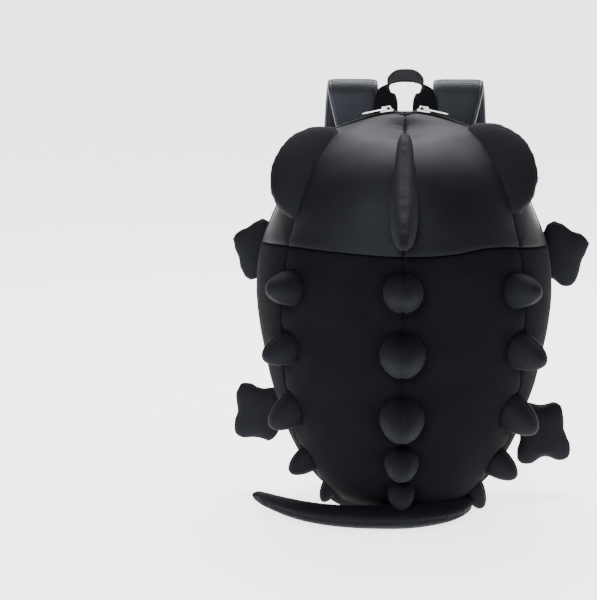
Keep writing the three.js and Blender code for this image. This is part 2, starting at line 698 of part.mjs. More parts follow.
// Padded strap: places are shares of strapRoom behind the back panel, of the rise from the anchor to
// the top or of the fall from there to the end, and of strapSpread across
const strapRoute = [
  { out: 0.095, rise: 0.00, across: 0.76, width: 0.86 },
  { out: 0.150, rise: 0.30, across: 0.81, width: 0.90 },
  { out: 0.240, rise: 0.65, across: 0.91, width: 0.96 },
  { out: 0.350, rise: 0.90, across: 0.98, width: 1.00 },
  { out: 0.540, rise: 1.00, across: 1.00, width: 1.00 },
  { out: 0.720, rise: 0.92, across: 1.03, width: 1.00 },
  { out: 0.850, rise: 0.70, across: 1.06, width: 1.00 },
  { out: 0.950, rise: 0.20, across: 1.10, width: 1.00 },
  { out: 0.960, rise: -0.50, across: 1.14, width: 0.98 },
  { out: 0.880, rise: -1.20, across: 1.18, width: 0.92 },
  { out: 0.720, rise: -1.95, across: 1.22, width: 0.80 },
];
const strapRise = strapTop - strapAnchor;
function strap(sign) {
  const fall = (strapAnchor - strapEnd) / -strapRoute[strapRoute.length - 1].rise;
  return bandThrough(strapRoute.map(({ out, rise, across: aside, width }) => ({
    at: new THREE.Vector3(
      sign * aside * strapSpread,
      rearReach + out * strapRoom,
      strapAnchor + rise * (rise > 0 ? strapRise : fall),
    ),
    wide: new THREE.Vector3(1, 0, 0),
    width: width * strapWidth,
    thickness: strapThickness,
  })));
}

// Strap adjuster: a plain ladder of three bars
function adjuster() {
  const shape = new THREE.Shape();
  const half = adjusterWidth / 2;
  const long = adjusterLength / 2;
  shape.moveTo(-half, -long);
  shape.lineTo(half, -long);
  shape.lineTo(half, long);
  shape.lineTo(-half, long);
  const slot = (adjusterLength - 3 * adjusterBar) / 2;
  for (const low of [-long + adjusterBar, adjusterBar / 2]) {
    const hole = new THREE.Path();
    const reach = webbingWidth / 2 + 0.6;
    hole.moveTo(-reach, low);
    hole.lineTo(-reach, low + slot);
    hole.lineTo(reach, low + slot);
    hole.lineTo(reach, low);
    shape.holes.push(hole);
  }
  const geometry = new THREE.ExtrudeGeometry(shape, { depth: adjusterThickness, bevelEnabled: false });
  geometry.translate(0, 0, -adjusterThickness / 2);
  return geometry;
}

for (const [side, sign] of [['left', -1], ['right', 1]]) {
  addPiece(`eye_${side}`, eye(sign), white);
  addPiece(`shoulder_strap_${side}`, strap(sign), mesh);
  const last = strapRoute[strapRoute.length - 1];
  const end = new THREE.Vector3(sign * last.across * strapSpread, rearReach + last.out * strapRoom, strapEnd);
  const anchor = new THREE.Vector3(sign * anchorSpread, rearReach, anchorHeight);
  const down = anchor.clone().sub(end).normalize();
  const seat = end.clone().addScaledVector(down, gap * 2 + adjusterLength / 2);
  const frame = new THREE.Matrix4().makeBasis(
    across.clone().addScaledVector(down, -down.x).normalize(),
    down.clone().negate(),
    across.clone().addScaledVector(down, -down.x).normalize().cross(down.clone().negate()),
  );
  const ladder = addPiece(`strap_adjuster_${side}`, adjuster(), plastic);
  ladder.quaternion.setFromRotationMatrix(frame);
  ladder.position.copy(seat);
  const start = seat.clone().addScaledVector(down, adjusterLength / 2 + gap * 2);
  const lower = [0, 0.3, 0.65, 1.03].map((t) => ({
    at: start.clone().lerp(anchor, t),
    wide: across,
    width: webbingWidth,
    thickness: webbingThickness,
  }));
  addPiece(`lower_webbing_${side}`, sewnOn(bandThrough(lower)), woven);
}

export default group;
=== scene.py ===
import math

import bmesh
import bpy
import numpy as np
from mathutils import Matrix, Vector, noise


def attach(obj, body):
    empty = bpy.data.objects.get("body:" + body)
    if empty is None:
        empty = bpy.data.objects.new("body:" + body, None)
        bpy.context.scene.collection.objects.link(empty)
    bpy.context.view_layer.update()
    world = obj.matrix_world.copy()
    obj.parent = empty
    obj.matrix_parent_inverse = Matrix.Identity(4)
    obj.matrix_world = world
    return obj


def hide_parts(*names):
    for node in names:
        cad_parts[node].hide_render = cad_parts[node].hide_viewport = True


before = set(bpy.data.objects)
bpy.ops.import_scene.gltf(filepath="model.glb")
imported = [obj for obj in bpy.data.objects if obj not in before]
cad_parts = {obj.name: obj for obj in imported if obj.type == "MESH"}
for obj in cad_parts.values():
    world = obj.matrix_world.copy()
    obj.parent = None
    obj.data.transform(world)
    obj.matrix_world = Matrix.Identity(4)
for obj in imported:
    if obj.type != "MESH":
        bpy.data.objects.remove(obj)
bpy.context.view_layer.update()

# Camera: the bag seen from the animal's back and a little from above, with a long lens, standing
# right of the middle of the picture because the camera is turned to the left of it.
VIEW_TARGET = Vector((0, 0, 0.205))
VIEW_DISTANCE = 1.9
VIEW_LIFT = math.radians(11)
TURN_LEFT = math.radians(3.21)
TURN_UP = math.radians(0.3)
camera_data = bpy.data.cameras.new("photo_camera")
camera_data.sensor_width = 36
camera_data.lens = 114
camera_data.clip_end = 120
camera = bpy.data.objects.new("photo_camera", camera_data)
back = Vector((0, -math.cos(VIEW_LIFT), math.sin(VIEW_LIFT)))
camera.location = VIEW_TARGET + back * VIEW_DISTANCE
camera.rotation_euler = (math.pi / 2 - VIEW_LIFT + TURN_UP, 0, TURN_LEFT)
bpy.context.scene.collection.objects.link(camera)
bpy.context.scene.camera = camera

# Studio: a dim room with a bright white wall behind the bag, a broad soft box overhead that lights
# the crown of the head, and a weak one in front.
world = bpy.data.worlds.new("studio")
world.use_nodes = True
link = world.node_tree.links.new
facing = world.node_tree.nodes.new("ShaderNodeTexCoord")
parts = world.node_tree.nodes.new("ShaderNodeSeparateXYZ")
wall = world.node_tree.nodes.new("ShaderNodeMapRange")
wall.interpolation_type = "SMOOTHSTEP"
wall.inputs["From Min"].default_value = 0.80
wall.inputs["From Max"].default_value = 0.96
wall.inputs["To Min"].default_value = 0.5
wall.inputs["To Max"].default_value = 2.6
link(facing.outputs["Generated"], parts.inputs["Vector"])
link(parts.outputs["Y"], wall.inputs["Value"])
link(wall.outputs["Result"], world.node_tree.nodes["Background"].inputs["Strength"])
world.node_tree.nodes["Background"].inputs["Color"].default_value = (1.0, 1.0, 1.0, 1)
bpy.context.scene.world = world


def soft_box(name, place, aim, size, energy):
    data = bpy.data.lights.new(name, "AREA")
    data.shape = "RECTANGLE"
    data.size, data.size_y = size
    data.energy = energy
    lamp = bpy.data.objects.new(name, data)
    lamp.location = place
    lamp.rotation_euler = (Vector(aim) - Vector(place)).to_track_quat("-Z", "Y").to_euler()
    bpy.context.scene.collection.objects.link(lamp)


soft_box("box_above", (0.0, 0.85, 1.75), (0, 0.02, 0.38), (1.5, 0.7), 46)
soft_box("box_front", (-0.9, -2.4, 1.9), (0, 0, 0.1), (1.6, 1.4), 70)

# Floor: a plain white sweep, far enough to fill the view.
floor_mesh = bmesh.new()
bmesh.ops.create_grid(floor_mesh, x_segments=1, y_segments=1, size=40)
floor_data = bpy.data.meshes.new("floor")
floor_mesh.to_mesh(floor_data)
floor_mesh.free()
floor = bpy.data.objects.new("floor", floor_data)
bpy.context.scene.collection.objects.link(floor)
white_paper = bpy.data.materials.new("white_paper")
white_paper.use_nodes = True
white_paper.node_tree.nodes["Principled BSDF"].inputs["Base Color"].default_value = (0.95, 0.95, 0.95, 1)
white_paper.node_tree.nodes["Principled BSDF"].inputs["Roughness"].default_value = 0.7
white_paper.node_tree.nodes["Principled BSDF"].inputs["Emission Color"].default_value = (1, 1, 1, 1)
white_paper.node_tree.nodes["Principled BSDF"].inputs["Emission Strength"].default_value = 2.6
floor_data.materials.append(white_paper)

# Head panels: two black satin pieces sewn down the middle of the head, from the zip on the crest to
# the neck seam, where they lap over the body panels. They are cut from the bag's round cross
# sections, from the floor up: heights are shares of the bag's height, half widths of half its
# width, fronts and rears of its reach, and seam is the side seam's place across the half width.
MM = 0.001
BAG_HEIGHT, HALF_WIDTH, FRONT_REACH, REAR_REACH = 398, 149, 86, 95
SECTIONS = np.array([
    (0.000, 0.515, 0.360, 0.474, 0.870, 0.93), (0.020, 0.508, 0.550, 0.474, 0.950, 0.93),
    (0.042, 0.500, 0.650, 0.474, 0.980, 0.93), (0.066, 0.576, 0.740, 0.474, 1.000, 0.93),
    (0.114, 0.675, 0.820, 0.474, 1.000, 0.93), (0.176, 0.771, 0.885, 0.474, 1.000, 0.92),
    (0.261, 0.847, 0.940, 0.474, 1.000, 0.89), (0.314, 0.894, 0.965, 0.474, 1.000, 0.87),
    (0.393, 0.942, 0.985, 0.474, 1.000, 0.84), (0.472, 0.983, 1.000, 0.474, 1.000, 0.82),
    (0.537, 1.000, 1.000, 0.474, 1.000, 0.80), (0.627, 0.983, 0.985, 0.474, 1.000, 0.80),
    (0.690, 0.942, 0.945, 0.474, 1.000, 0.80), (0.750, 0.878, 0.875, 0.474, 1.000, 0.81),
    (0.816, 0.793, 0.760, 0.474, 1.000, 0.84), (0.873, 0.698, 0.600, 0.474, 1.000, 0.88),
    (0.918, 0.597, 0.410, 0.474, 0.985, 0.93), (0.956, 0.481, 0.170, 0.474, 0.930, 1.04),
    (0.976, 0.339, -0.040, 0.455, 0.870, 1.04), (0.994, 0.176, -0.270, 0.440, 0.760, 1.04),
    (1.000, 0.068, -0.390, 0.470, 0.650, 1.04),
])
HEIGHTS = SECTIONS[:, 0] * BAG_HEIGHT
# How far each section lies along the profile of the animal's back
ALONG = np.concatenate([[0], np.cumsum(np.hypot(np.diff(HEIGHTS), np.diff(SECTIONS[:, 2] * FRONT_REACH)))])
FRONT_POWER, REAR_POWER = 2.1, 4
NECK_HEIGHT, NECK_CLIMB, TEETH_Y, TAPE_FRONT, TAPE_REAR, PANEL_Y = 263.9, 0.1, 50, 39, 61, 84
MEDIAN = math.pi / 2
BAG_CENTRE = (0, 45, 200)


def smooth_through(values, places, at):
    """A smooth curve through values that stand at places, read where at says."""
    slopes = np.gradient(values, places)
    k = np.clip(np.searchsorted(places, at) - 1, 0, len(places) - 2)
    step = places[k + 1] - places[k]
    t = np.clip((at - places[k]) / step, 0, 1)
    return (
        (2 * t**3 - 3 * t**2 + 1) * values[k] + (t**3 - 2 * t**2 + t) * step * slopes[k]
        + (3 * t**2 - 2 * t**3) * values[k + 1] + (t**3 - t**2) * step * slopes[k + 1]
    )


def section(along):
    """Height, half width, depth in front of and behind the middle, the middle, and the seam's share."""
    share = [smooth_through(SECTIONS[:, i], ALONG, along) for i in range(6)]
    middle = share[3] * REAR_REACH
    return (
        share[0] * BAG_HEIGHT, share[1] * HALF_WIDTH, share[2] * FRONT_REACH + middle,
        share[4] * REAR_REACH - middle, middle, share[5],
    )


def on_bag(turn, along):
    """A point of the bag's front: turn goes round the section, a quarter turn is the animal's back."""
    height, half, front, _, middle, _ = section(along)
    c, s = np.cos(turn), np.sin(turn)
    x = half * np.sign(c) * np.abs(c) ** (2 / FRONT_POWER)
    y = middle - front * np.abs(s) ** (2 / FRONT_POWER)
    return np.stack([x, y, height + 0 * x], axis=-1)


def seam_turn(along):
    """The side seam's place round the section."""
    return np.arccos(np.clip(section(along)[5], 0, 1) ** (FRONT_POWER / 2))


def zip_turn(along):
    """The zip tape's place round the section."""
    _, _, front, _, middle, _ = section(along)
    return np.arcsin(np.clip((middle - TAPE_FRONT) / front, 0, 1) ** (FRONT_POWER / 2))


def cross_at(test, low, high):
    """Where test turns from negative to positive between low and high, by halving."""
    low, high = low + 0 * high, high + 0 * low
    for _ in range(30):
        middle = (low + high) / 2
        under = test(middle) < 0
        low, high = np.where(under, middle, low), np.where(under, high, middle)
    return low


def neck_along(turn):
    """How far up the profile the neck seam lies at a turn."""
    def over(along):
        p = on_bag(turn, along)
        return p[..., 2] - NECK_HEIGHT - (TEETH_Y - p[..., 1]) * NECK_CLIMB
    return cross_at(over, ALONG[8] + 0 * turn, ALONG[14] + 0 * turn)


def crest_along(turn):
    """How far up the profile the zip's front tape lies at a turn."""
    def behind(along):
        return on_bag(turn, along)[..., 1] - TAPE_FRONT
    return cross_at(behind, ALONG[12] + 0 * turn, ALONG[-1] + 0 * turn)


TURNS = np.linspace(0.02, MEDIAN, 500)
NECK_LINE, CREST_LINE = neck_along(TURNS), crest_along(TURNS)
NECK_WAVE = np.array([(-150, 2.5), (-130, 3), (-64, -1), (0, -4.5), (48, -2), (80, 3.5), (130, 2), (150, 2)])


def neck_line(turn, sign, along):
    """How far up the profile the neck seam lies: the sewn line waves a little round the bag."""
    across = on_bag(turn, along)[..., 0] * sign
    return np.interp(turn, TURNS, NECK_LINE) + smooth_through(NECK_WAVE[:, 1], NECK_WAVE[:, 0], across)


def rumple(points, size, seed):
    """Smooth noise from -1 to 1 over points in millimetres, in lumps of that size."""
    shift = Vector((seed, seed * 1.7, -seed))
    lumps = [noise.noise(Vector(place) + shift) for place in points.reshape(-1, 3) / size]
    return np.array(lumps).reshape(points.shape[:-1])


def link_up(name, mesh, material):
    """Makes the finished mesh an object that rides on the bag."""
    data = bpy.data.meshes.new(name)
    mesh.to_mesh(data)
    mesh.free()
    data.materials.append(material)
    for face in data.polygons:
        face.use_smooth = True
    piece = bpy.data.objects.new(name, data)
    bpy.context.scene.collection.objects.link(piece)
    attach(piece, "bag")
    return piece


def grid_piece(name, points, material, closed=False, outward=BAG_CENTRE):
    """A sheet of cloth from a grid whose points are in millimetres, with its UVs in metres."""
    rows, columns = points.shape[0] - 1, points.shape[1] - 1
    mesh = bmesh.new()
    layer = mesh.loops.layers.uv.new("UVMap")
    bmesh.ops.create_grid(mesh, x_segments=columns, y_segments=rows, size=0.5, calc_uvs=True)
    across = np.append(0, np.cumsum(np.linalg.norm(np.diff(points, axis=1), axis=-1).mean(axis=0))) * MM
    upward = np.append(0, np.cumsum(np.linalg.norm(np.diff(points, axis=0), axis=-1).mean(axis=1))) * MM
    places = {}
    for vert in mesh.verts:
        i, j = round((vert.co.x + 0.5) * columns), round((vert.co.y + 0.5) * rows)
        places[vert] = (across[i], upward[j])
        vert.co = points[j, i] * MM
    for face in mesh.faces:
        for loop in face.loops:
            loop[layer].uv = places[loop.vert]
    bmesh.ops.remove_doubles(mesh, verts=mesh.verts, dist=2e-6)
    bmesh.ops.dissolve_degenerate(mesh, edges=mesh.edges, dist=1e-7)
    if closed:
        bmesh.ops.recalc_face_normals(mesh, faces=mesh.faces)
    else:
        mesh.normal_update()
        centre = Vector(outward) * MM
        outwards = sum(
            (face.calc_center_median() - centre).dot(face.normal) * face.calc_area() for face in mesh.faces
        )
        if outwards < 0:
            bmesh.ops.reverse_faces(mesh, faces=mesh.faces)
    return link_up(name, mesh, material)


def normals_of(points):
    """Outward normals of a grid of points."""
    u, v = np.gradient(points, axis=1), np.gradient(points, axis=0)
    n = np.cross(u, v)
    n /= np.maximum(np.linalg.norm(n, axis=-1, keepdims=True), 1e-9)
    if ((points - np.array(BAG_CENTRE)) * n).sum() < 0:
        n = -n
    return n


def edge_distances(points):
    """Distance of each grid point to the left, right, bottom and top edges, along the grid."""
    across = np.linalg.norm(np.diff(points, axis=1), axis=-1)
    upward = np.linalg.norm(np.diff(points, axis=0), axis=-1)
    left = np.concatenate([np.zeros((points.shape[0], 1)), np.cumsum(across, axis=1)], axis=1)
    low = np.concatenate([np.zeros((1, points.shape[1])), np.cumsum(upward, axis=0)], axis=0)
    return left, left[:, -1:] - left, low, low[-1:, :] - low


def sewn_panel(
    name, points, material, tucks, replaces, crown=1.6, seed=0, dents=1.0, lips=(),
    extra=0,
):
    """A shell panel: its edges turn in at the seams, with small puckers along them, and it crowns
    between them. tucks are the depths at the left, right, bottom and top edges; an edge named in
    lips stands proud instead."""
    normals = normals_of(points)
    away = edge_distances(points)
    nearest = np.minimum.reduce(away)
    lift = crown * (1 - np.exp(-nearest / 16))
    for k, (d, tuck) in enumerate(zip(away, tucks)):
        if tuck:
            run = 3.0 + tuck
            share = np.clip(1 - d / run, 0, 1)
            lift -= tuck * (1 - np.sqrt(np.maximum(1 - share**2, 0)))
            beside = away[2] if k < 2 else away[0]
            ripple = np.array([
                noise.noise(Vector((b / 6.5, seed + 3.1 * k, 0))) for b in beside.ravel()
            ]).reshape(beside.shape)
            lift -= 0.9 * np.abs(ripple) * np.exp(-d / 7)
        if k in lips:
            lift += 1.3 * np.exp(-((d / 9) ** 2))
    uneven = 1.5 * rumple(points, 85, seed) + 0.55 * rumple(points, 30, seed + 5)
    lift += dents * uneven * (1 - np.exp(-nearest / 25))
    piece = grid_piece(name, points + normals * (lift + extra)[..., None], material)
    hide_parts(*replaces)
    return piece


def node(material, kind, **values):
    """Adds a shader node and sets its properties and the inputs that are named."""
    made = material.node_tree.nodes.new(kind)
    for key, value in values.items():
        if key in made.inputs:
            made.inputs[key].default_value = value
        else:
            setattr(made, key, value)
    return made


def cloth_material(
    name, colour, light, roughness, sheen, pitch, relief, specular, pattern="weave", on="UV",
):
    """Dyed cloth: a weave or an open mesh at its real pitch on the cloth's own UVs, with patches a
    little lighter and rougher where it is worn."""
    material = bpy.data.materials.new(name)
    material.use_nodes = True
    shader = material.node_tree.nodes["Principled BSDF"]
    link = material.node_tree.links.new
    shader.inputs["Specular IOR Level"].default_value = specular
    shader.inputs["Sheen Weight"].default_value = sheen
    shader.inputs["Sheen Roughness"].default_value = 0.35
    shader.inputs["Sheen Tint"].default_value = (0.82, 0.86, 1.0, 1)
    shader.inputs["Specular Tint"].default_value = (0.80, 0.85, 1.0, 1)
    where = node(material, "ShaderNodeTexCoord")
    patches = node(material, "ShaderNodeTexNoise", Scale=26, Detail=5)
    link(where.outputs["Object"], patches.inputs["Vector"])
    ramp = node(material, "ShaderNodeValToRGB")
    ramp.color_ramp.elements[0].position = 0.35
    ramp.color_ramp.elements[0].color = (*colour, 1)
    ramp.color_ramp.elements[1].position = 0.72
    ramp.color_ramp.elements[1].color = (*light, 1)
    link(patches.outputs["Fac"], ramp.inputs["Fac"])
    gloss = node(material, "ShaderNodeMapRange")
    gloss.inputs["To Min"].default_value = roughness - 0.06
    gloss.inputs["To Max"].default_value = roughness + 0.08
    link(patches.outputs["Fac"], gloss.inputs["Value"])
    link(gloss.outputs["Result"], shader.inputs["Roughness"])
    if pattern == "weave":
        warp = node(material, "ShaderNodeTexWave", bands_direction="X", Scale=0.314 / pitch)
        weft = node(material, "ShaderNodeTexWave", bands_direction="Y", Scale=0.314 / pitch)
        link(where.outputs["UV"], warp.inputs["Vector"])
        link(where.outputs["UV"], weft.inputs["Vector"])
        height = node(material, "ShaderNodeMath", operation="MULTIPLY")
        link(warp.outputs["Fac"], height.inputs[0])
        link(weft.outputs["Fac"], height.inputs[1])
        threads = height.outputs["Value"]
    else:
        cells = node(material, "ShaderNodeTexVoronoi", Scale=1 / pitch, Randomness=0.25)
        link(where.outputs[on], cells.inputs["Vector"])
        threads = cells.outputs["Distance"]
    # The weave or mesh pattern darkens the base colour where its relief is low: this is the pattern itself,
    # with painted shade in its hollows on top of it
    shade = node(material, "ShaderNodeMix", data_type="RGBA", blend_type="MULTIPLY")
    shade.inputs["Factor"].default_value = 0.45
    link(ramp.outputs["Color"], shade.inputs[6])
    link(threads, shade.inputs[7])
    link(shade.outputs[2], shader.inputs["Base Color"])
    bump = node(material, "ShaderNodeBump", Strength=1.0, Distance=relief)
    link(threads, bump.inputs["Height"])
    link(bump.outputs["Normal"], shader.inputs["Normal"])
    return material


satin = cloth_material(
    "black_satin", (0.0022, 0.0024, 0.0032), (0.0035, 0.0039, 0.0052), 0.40, 0.012, 0.0007, 0.00008,
    specular=0.16,
)
airmesh = cloth_material(
    "black_air_mesh", (0.0028, 0.0030, 0.0038), (0.0048, 0.0052, 0.0064), 0.84, 0.003, 0.0026, 0.00035,
    pattern="mesh", specular=0.07,
)

DART_DEPTH = 11
# Where the zip and the seam that carries the ear meet
MEET = float(cross_at(lambda along: zip_turn(along) - seam_turn(along), ALONG[14:15], ALONG[17:18])[0])
for side, sign in (("left", -1), ("right", 1)):
    c, t = np.meshgrid(np.linspace(0, 1, 111), np.linspace(0, 1, 151))
    along = ALONG[13] + t * (ALONG[-1] - ALONG[13])
    for _ in range(14):
        edge = seam_turn(np.minimum(along, MEET))
        turn = edge + c * (MEDIAN - edge)
        top = np.where(c < 1e-6, MEET, np.interp(turn, TURNS, CREST_LINE))
        bottom = neck_line(turn, sign, along)
        along = bottom + t * (top - bottom)
    points = on_bag(turn, along) * np.array([sign, 1, 1])
    # The dart: the cloth is drawn in beside the median from the crest down to the fin's head
    below = (CREST_LINE[-1] - along).clip(0)
    draw = -DART_DEPTH * np.exp(-((points[..., 0] / (12 + 0.80 * below)) ** 2))
    draw *= (1 - np.exp(-((below / 17) ** 2))) * np.exp(-((below / 65) ** 2))
    sewn_panel(
        f"head_cloth_{side}", points, satin, (2.4, 1.6, 0, 2.0), crown=2.6, seed=11 + sign, dents=0.8,
        replaces=[f"head_panel_{side}"], lips=(2,), extra=draw,
    )

    # Cheek: the piece of satin between the ear's seam and the zip
    c, t = np.meshgrid(np.linspace(0, 1, 71), np.linspace(0, 1, 121))
    along = ALONG[12] + t * (MEET - ALONG[12])
    for _ in range(14):
        low, high = zip_turn(along), seam_turn(along)
        turn = low + c * np.maximum(high - low, 0)
        bottom = neck_line(turn, sign, along)
        along = bottom + t * (MEET - bottom)
    points = on_bag(turn, along) * np.array([sign, 1, 1])
    sewn_panel(
        f"cheek_cloth_{side}", points, satin, (2.0, 2.4, 0, 0), crown=2.0, seed=21 + sign, dents=0.7,
        replaces=[f"cheek_panel_{side}"], lips=(2,),
    )

# Body panels: two of air mesh down the spine and one on each flank, sewn together down the middle
# and along the side seams that carry the spikes, and into the neck seam under the head panels. The
# cloth is drawn in round each spike's foot. Spikes are listed by their height as a share of the
# bag's, the angle round it, how far they hang, and the size of the left and right one.
SPINE_WIDTH, SPINE_REACH, SIDE_WIDTH, SIDE_REACH = 44, 32, 37, 32
SPINE_SPIKES = (
    (0.598, 90, 0.05, 0.88), (0.446, 90, 0.10, 1.00), (0.286, 90, 0.22, 0.99), (0.172, 90, 0.20, 0.76),
    (0.088, 90, 0.25, 0.60),
)
SIDE_SPIKES = (
    (0.590, 43, 0.00, 0.94, 0.94), (0.436, 38, 0.10, 0.90, 1.00), (0.271, 32, 0.25, 0.92, 1.00),
    (0.134, 27, 0.05, 0.72, 0.82), (0.060, 30, 0.30, 0.50, 0.64),
)


def drawn_in(points, sign):
    """How deep the cloth lies in the rings where the spikes are sewn on."""
    deep = 0 * points[..., 0]
    feet = [(h, 90, size * SPINE_WIDTH) for h, _, _, size in SPINE_SPIKES]
    feet += [(h, angle, (b if sign > 0 else a) * SIDE_WIDTH) for h, angle, _, a, b in SIDE_SPIKES]
    for height, angle, width in feet:
        foot = on_bag(np.array(math.radians(angle)), np.array(np.interp(height * BAG_HEIGHT, HEIGHTS, ALONG)))
        away = np.linalg.norm(points - foot * np.array([sign, 1, 1]), axis=-1) - width / 2
        deep -= 2.4 * np.exp(-((away / np.where(away > 0, 5.5, 3)) ** 2))
    return deep


for side, sign in (("left", -1), ("right", 1)):
    for name, columns, outer_turn, tucks in (
        ("spine", 121, lambda along: (seam_turn(along), MEDIAN + 0 * along), (1.7, 1.0, 1.5, 2.0)),
        ("side", 71, lambda along: (zip_turn(along), seam_turn(along)), (2.0, 1.7, 1.5, 2.0)),
    ):
        c, t = np.meshgrid(np.linspace(0, 1, columns), np.linspace(0, 1, 221))
        foot = float(np.interp(4.5, HEIGHTS, ALONG))
        along = foot + t * (ALONG[12] - foot)
        for _ in range(14):
            low, high = outer_turn(along)
            turn = low + c * (high - low)
            along = foot + t * (neck_line(turn, sign, along) - foot)
        points = on_bag(turn, along) * np.array([sign, 1, 1])
        sewn_panel(
            f"{name}_cloth_{side}", points, airmesh, tucks, crown=2.0, seed=31 + sign + len(name),
            replaces=[f"{name}_panel_{side}"], extra=drawn_in(points, sign),
        )

# Rear gusset, base, back panel and the plain ends under the zip. The gusset is a strip of satin
# from floor to floor over the top, the base a flat disc, the back panel padded air mesh.
TAPE_FOOT = 64


def arch(y, count, low_height):
    """Evenly spaced points of the bag's outline at a depth y, from its left foot over to its right."""
    start = float(np.interp(low_height, HEIGHTS, ALONG))

    def inside(along):
        _, _, front, rear, middle, _ = section(along)
        return np.where(y < middle, (middle - y) / front, (y - middle) / rear) - 1

    ends = np.array([start]), np.array([ALONG[-1]])
    top = float(cross_at(inside, *ends)[0])
    along = start + (top - start) * np.sin(np.linspace(0, MEDIAN, 900))
    height, half, front, rear, middle, _ = section(along)
    share = np.where(y < middle, (middle - y) / front, (y - middle) / rear).clip(0, 1)
    power = np.where(y < middle, FRONT_POWER, REAR_POWER)
    x = half * (1 - share**power) ** (1 / power)
    line = np.stack([np.concatenate([-x, x[::-1]]), np.concatenate([height, height[::-1]])], axis=-1)
    steps = np.concatenate([[0], np.cumsum(np.linalg.norm(np.diff(line, axis=0), axis=-1))])
    places = np.linspace(0, steps[-1], count)
    x, z = np.interp(places, steps, line[:, 0]), np.interp(places, steps, line[:, 1])
    return np.stack([x, y + 0 * places, z], axis=-1)


depths = TAPE_REAR + 0.3 + np.linspace(0, 1, 21) * (PANEL_Y - TAPE_REAR - 0.6)
points = np.stack([arch(y, 421, 4.6) for y in depths])
sewn_panel(
    "gusset_cloth", points, satin, (0.8, 0.8, 1.6, 2.2), crown=1.0, seed=41, dents=0.6,
    replaces=["rear_gusset"],
)

c, t = np.meshgrid(np.linspace(-1, 1, 121), np.linspace(0, 1, 161))
start = float(np.interp(1.5, HEIGHTS, ALONG))
top = float(cross_at(lambda a: PANEL_Y - section(a)[3] - section(a)[4], ALONG[10:11], ALONG[-1:])[0])
along = start + (top - start) * np.sin(t * MEDIAN)
height, half, _, rear, middle, _ = section(along)
reach = half * np.maximum(1 - ((PANEL_Y - middle) / rear).clip(0, 1) ** REAR_POWER, 0) ** (1 / REAR_POWER)
x = c * reach
y = middle + rear * np.maximum(1 - (np.abs(x) / half) ** REAR_POWER, 0) ** (1 / REAR_POWER)
points = np.stack([x, y, height], axis=-1)
back = sewn_panel(
    "back_cloth", points, airmesh, (2.0, 2.0, 1.5, 1.5), crown=1.5, seed=43, dents=0.8,
    replaces=["back_panel"],
)

for side, sign in (("left", -1), ("right", 1)):
    depths = TAPE_FRONT + np.linspace(0, 1, 19) * (TAPE_REAR - TAPE_FRONT)
    strips = np.stack([arch(y, 801, 4.6) for y in depths])
    rows = strips[:, :400] if sign < 0 else strips[:, :400:-1]
    keep = int((rows[9, :, 2] < TAPE_FOOT - 0.3).sum())
    sewn_panel(
        f"zip_end_cloth_{side}", rows[:, :keep], satin, (0.8, 1.0, 1.2, 1.2), crown=0.6, seed=45 + sign,
        dents=0.3, replaces=[f"zip_end_panel_{side}"],
    )

c, t = np.meshgrid(np.linspace(0, 2 * math.pi, 97), np.linspace(0, 1, 25))
height, half, front, rear, middle, _ = [float(v) for v in section(np.array([ALONG[0]]))]
s, k = np.sin(c), np.cos(c)
power = np.where(s >= 0, FRONT_POWER, REAR_POWER)
half, front, rear = half + 1, front + 8, rear + 2
x = half * np.sign(k) * np.abs(k) ** (2 / power)
y = middle - np.where(s >= 0, front, rear) * np.sign(s) * np.abs(s) ** (2 / power)
bulge = 4.5 * (t > 0.8) * ((t - 0.8) / 0.2) ** 2
points = np.stack([x * t, middle + (y - middle) * t, 0.3 + bulge], axis=-1)
base = grid_piece("base_cloth", points, satin, outward=(0, 45, 60))
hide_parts("base_panel")

# Zip: two woven tapes over the top of the bag, with a coil of nylon teeth sewn along their inner
# edges, closed outside the two sliders and standing apart between them.
tape_cloth = cloth_material(
    "zip_tape_cloth", (0.003, 0.003, 0.0035), (0.005, 0.005, 0.006), 0.7, 0.01, 0.0011, 0.00012,
    specular=0.1,
)
SLIDER_X, MOUTH = 18, 2.5
mouth_line = arch(TEETH_Y, 661, TAPE_FOOT)
opening = MOUTH * np.maximum(0, 1 - (mouth_line[:, 0] / SLIDER_X) ** 2) * (mouth_line[:, 2] > 300)
for name, outer_y, sign in (("front", TAPE_FRONT, -1), ("rear", TAPE_REAR, 1)):
    inner = TEETH_Y + sign * (0.2 + opening)
    rows = []
    for share in np.linspace(0, 1, 9):
        line = arch(outer_y + share * (TEETH_Y + sign * 0.2 - outer_y), 661, TAPE_FOOT)
        line[:, 1] = outer_y + share * (inner - outer_y)
        rows.append(line)
    sewn_panel(
        f"zip_tape_cloth_{name}", np.stack(rows), tape_cloth, (0, 0, 0.6, 0), crown=0, seed=51, dents=0.15,
        replaces=[f"zip_tape_{name}"],
    )

nylon = bpy.data.materials.new("black_nylon")
nylon.use_nodes = True
shader = nylon.node_tree.nodes["Principled BSDF"]
shader.inputs["Roughness"].default_value = 0.35
where = node(nylon, "ShaderNodeTexCoord")
specks = node(nylon, "ShaderNodeTexNoise", Scale=900, Detail=2)
nylon.node_tree.links.new(where.outputs["Object"], specks.inputs["Vector"])
ramp = node(nylon, "ShaderNodeValToRGB")
ramp.color_ramp.elements[0].color = (0.003, 0.003, 0.0035, 1)
ramp.color_ramp.elements[1].color = (0.007, 0.007, 0.008, 1)
nylon.node_tree.links.new(specks.outputs["Fac"], ramp.inputs["Fac"])
nylon.node_tree.links.new(ramp.outputs["Color"], shader.inputs["Base Color"])
TOOTH = (0.9, 4.2, 1.3)  # along the chain, across it, and proud of the tape
length = np.concatenate([[0], np.cumsum(np.linalg.norm(np.diff(mouth_line, axis=0), axis=-1))])
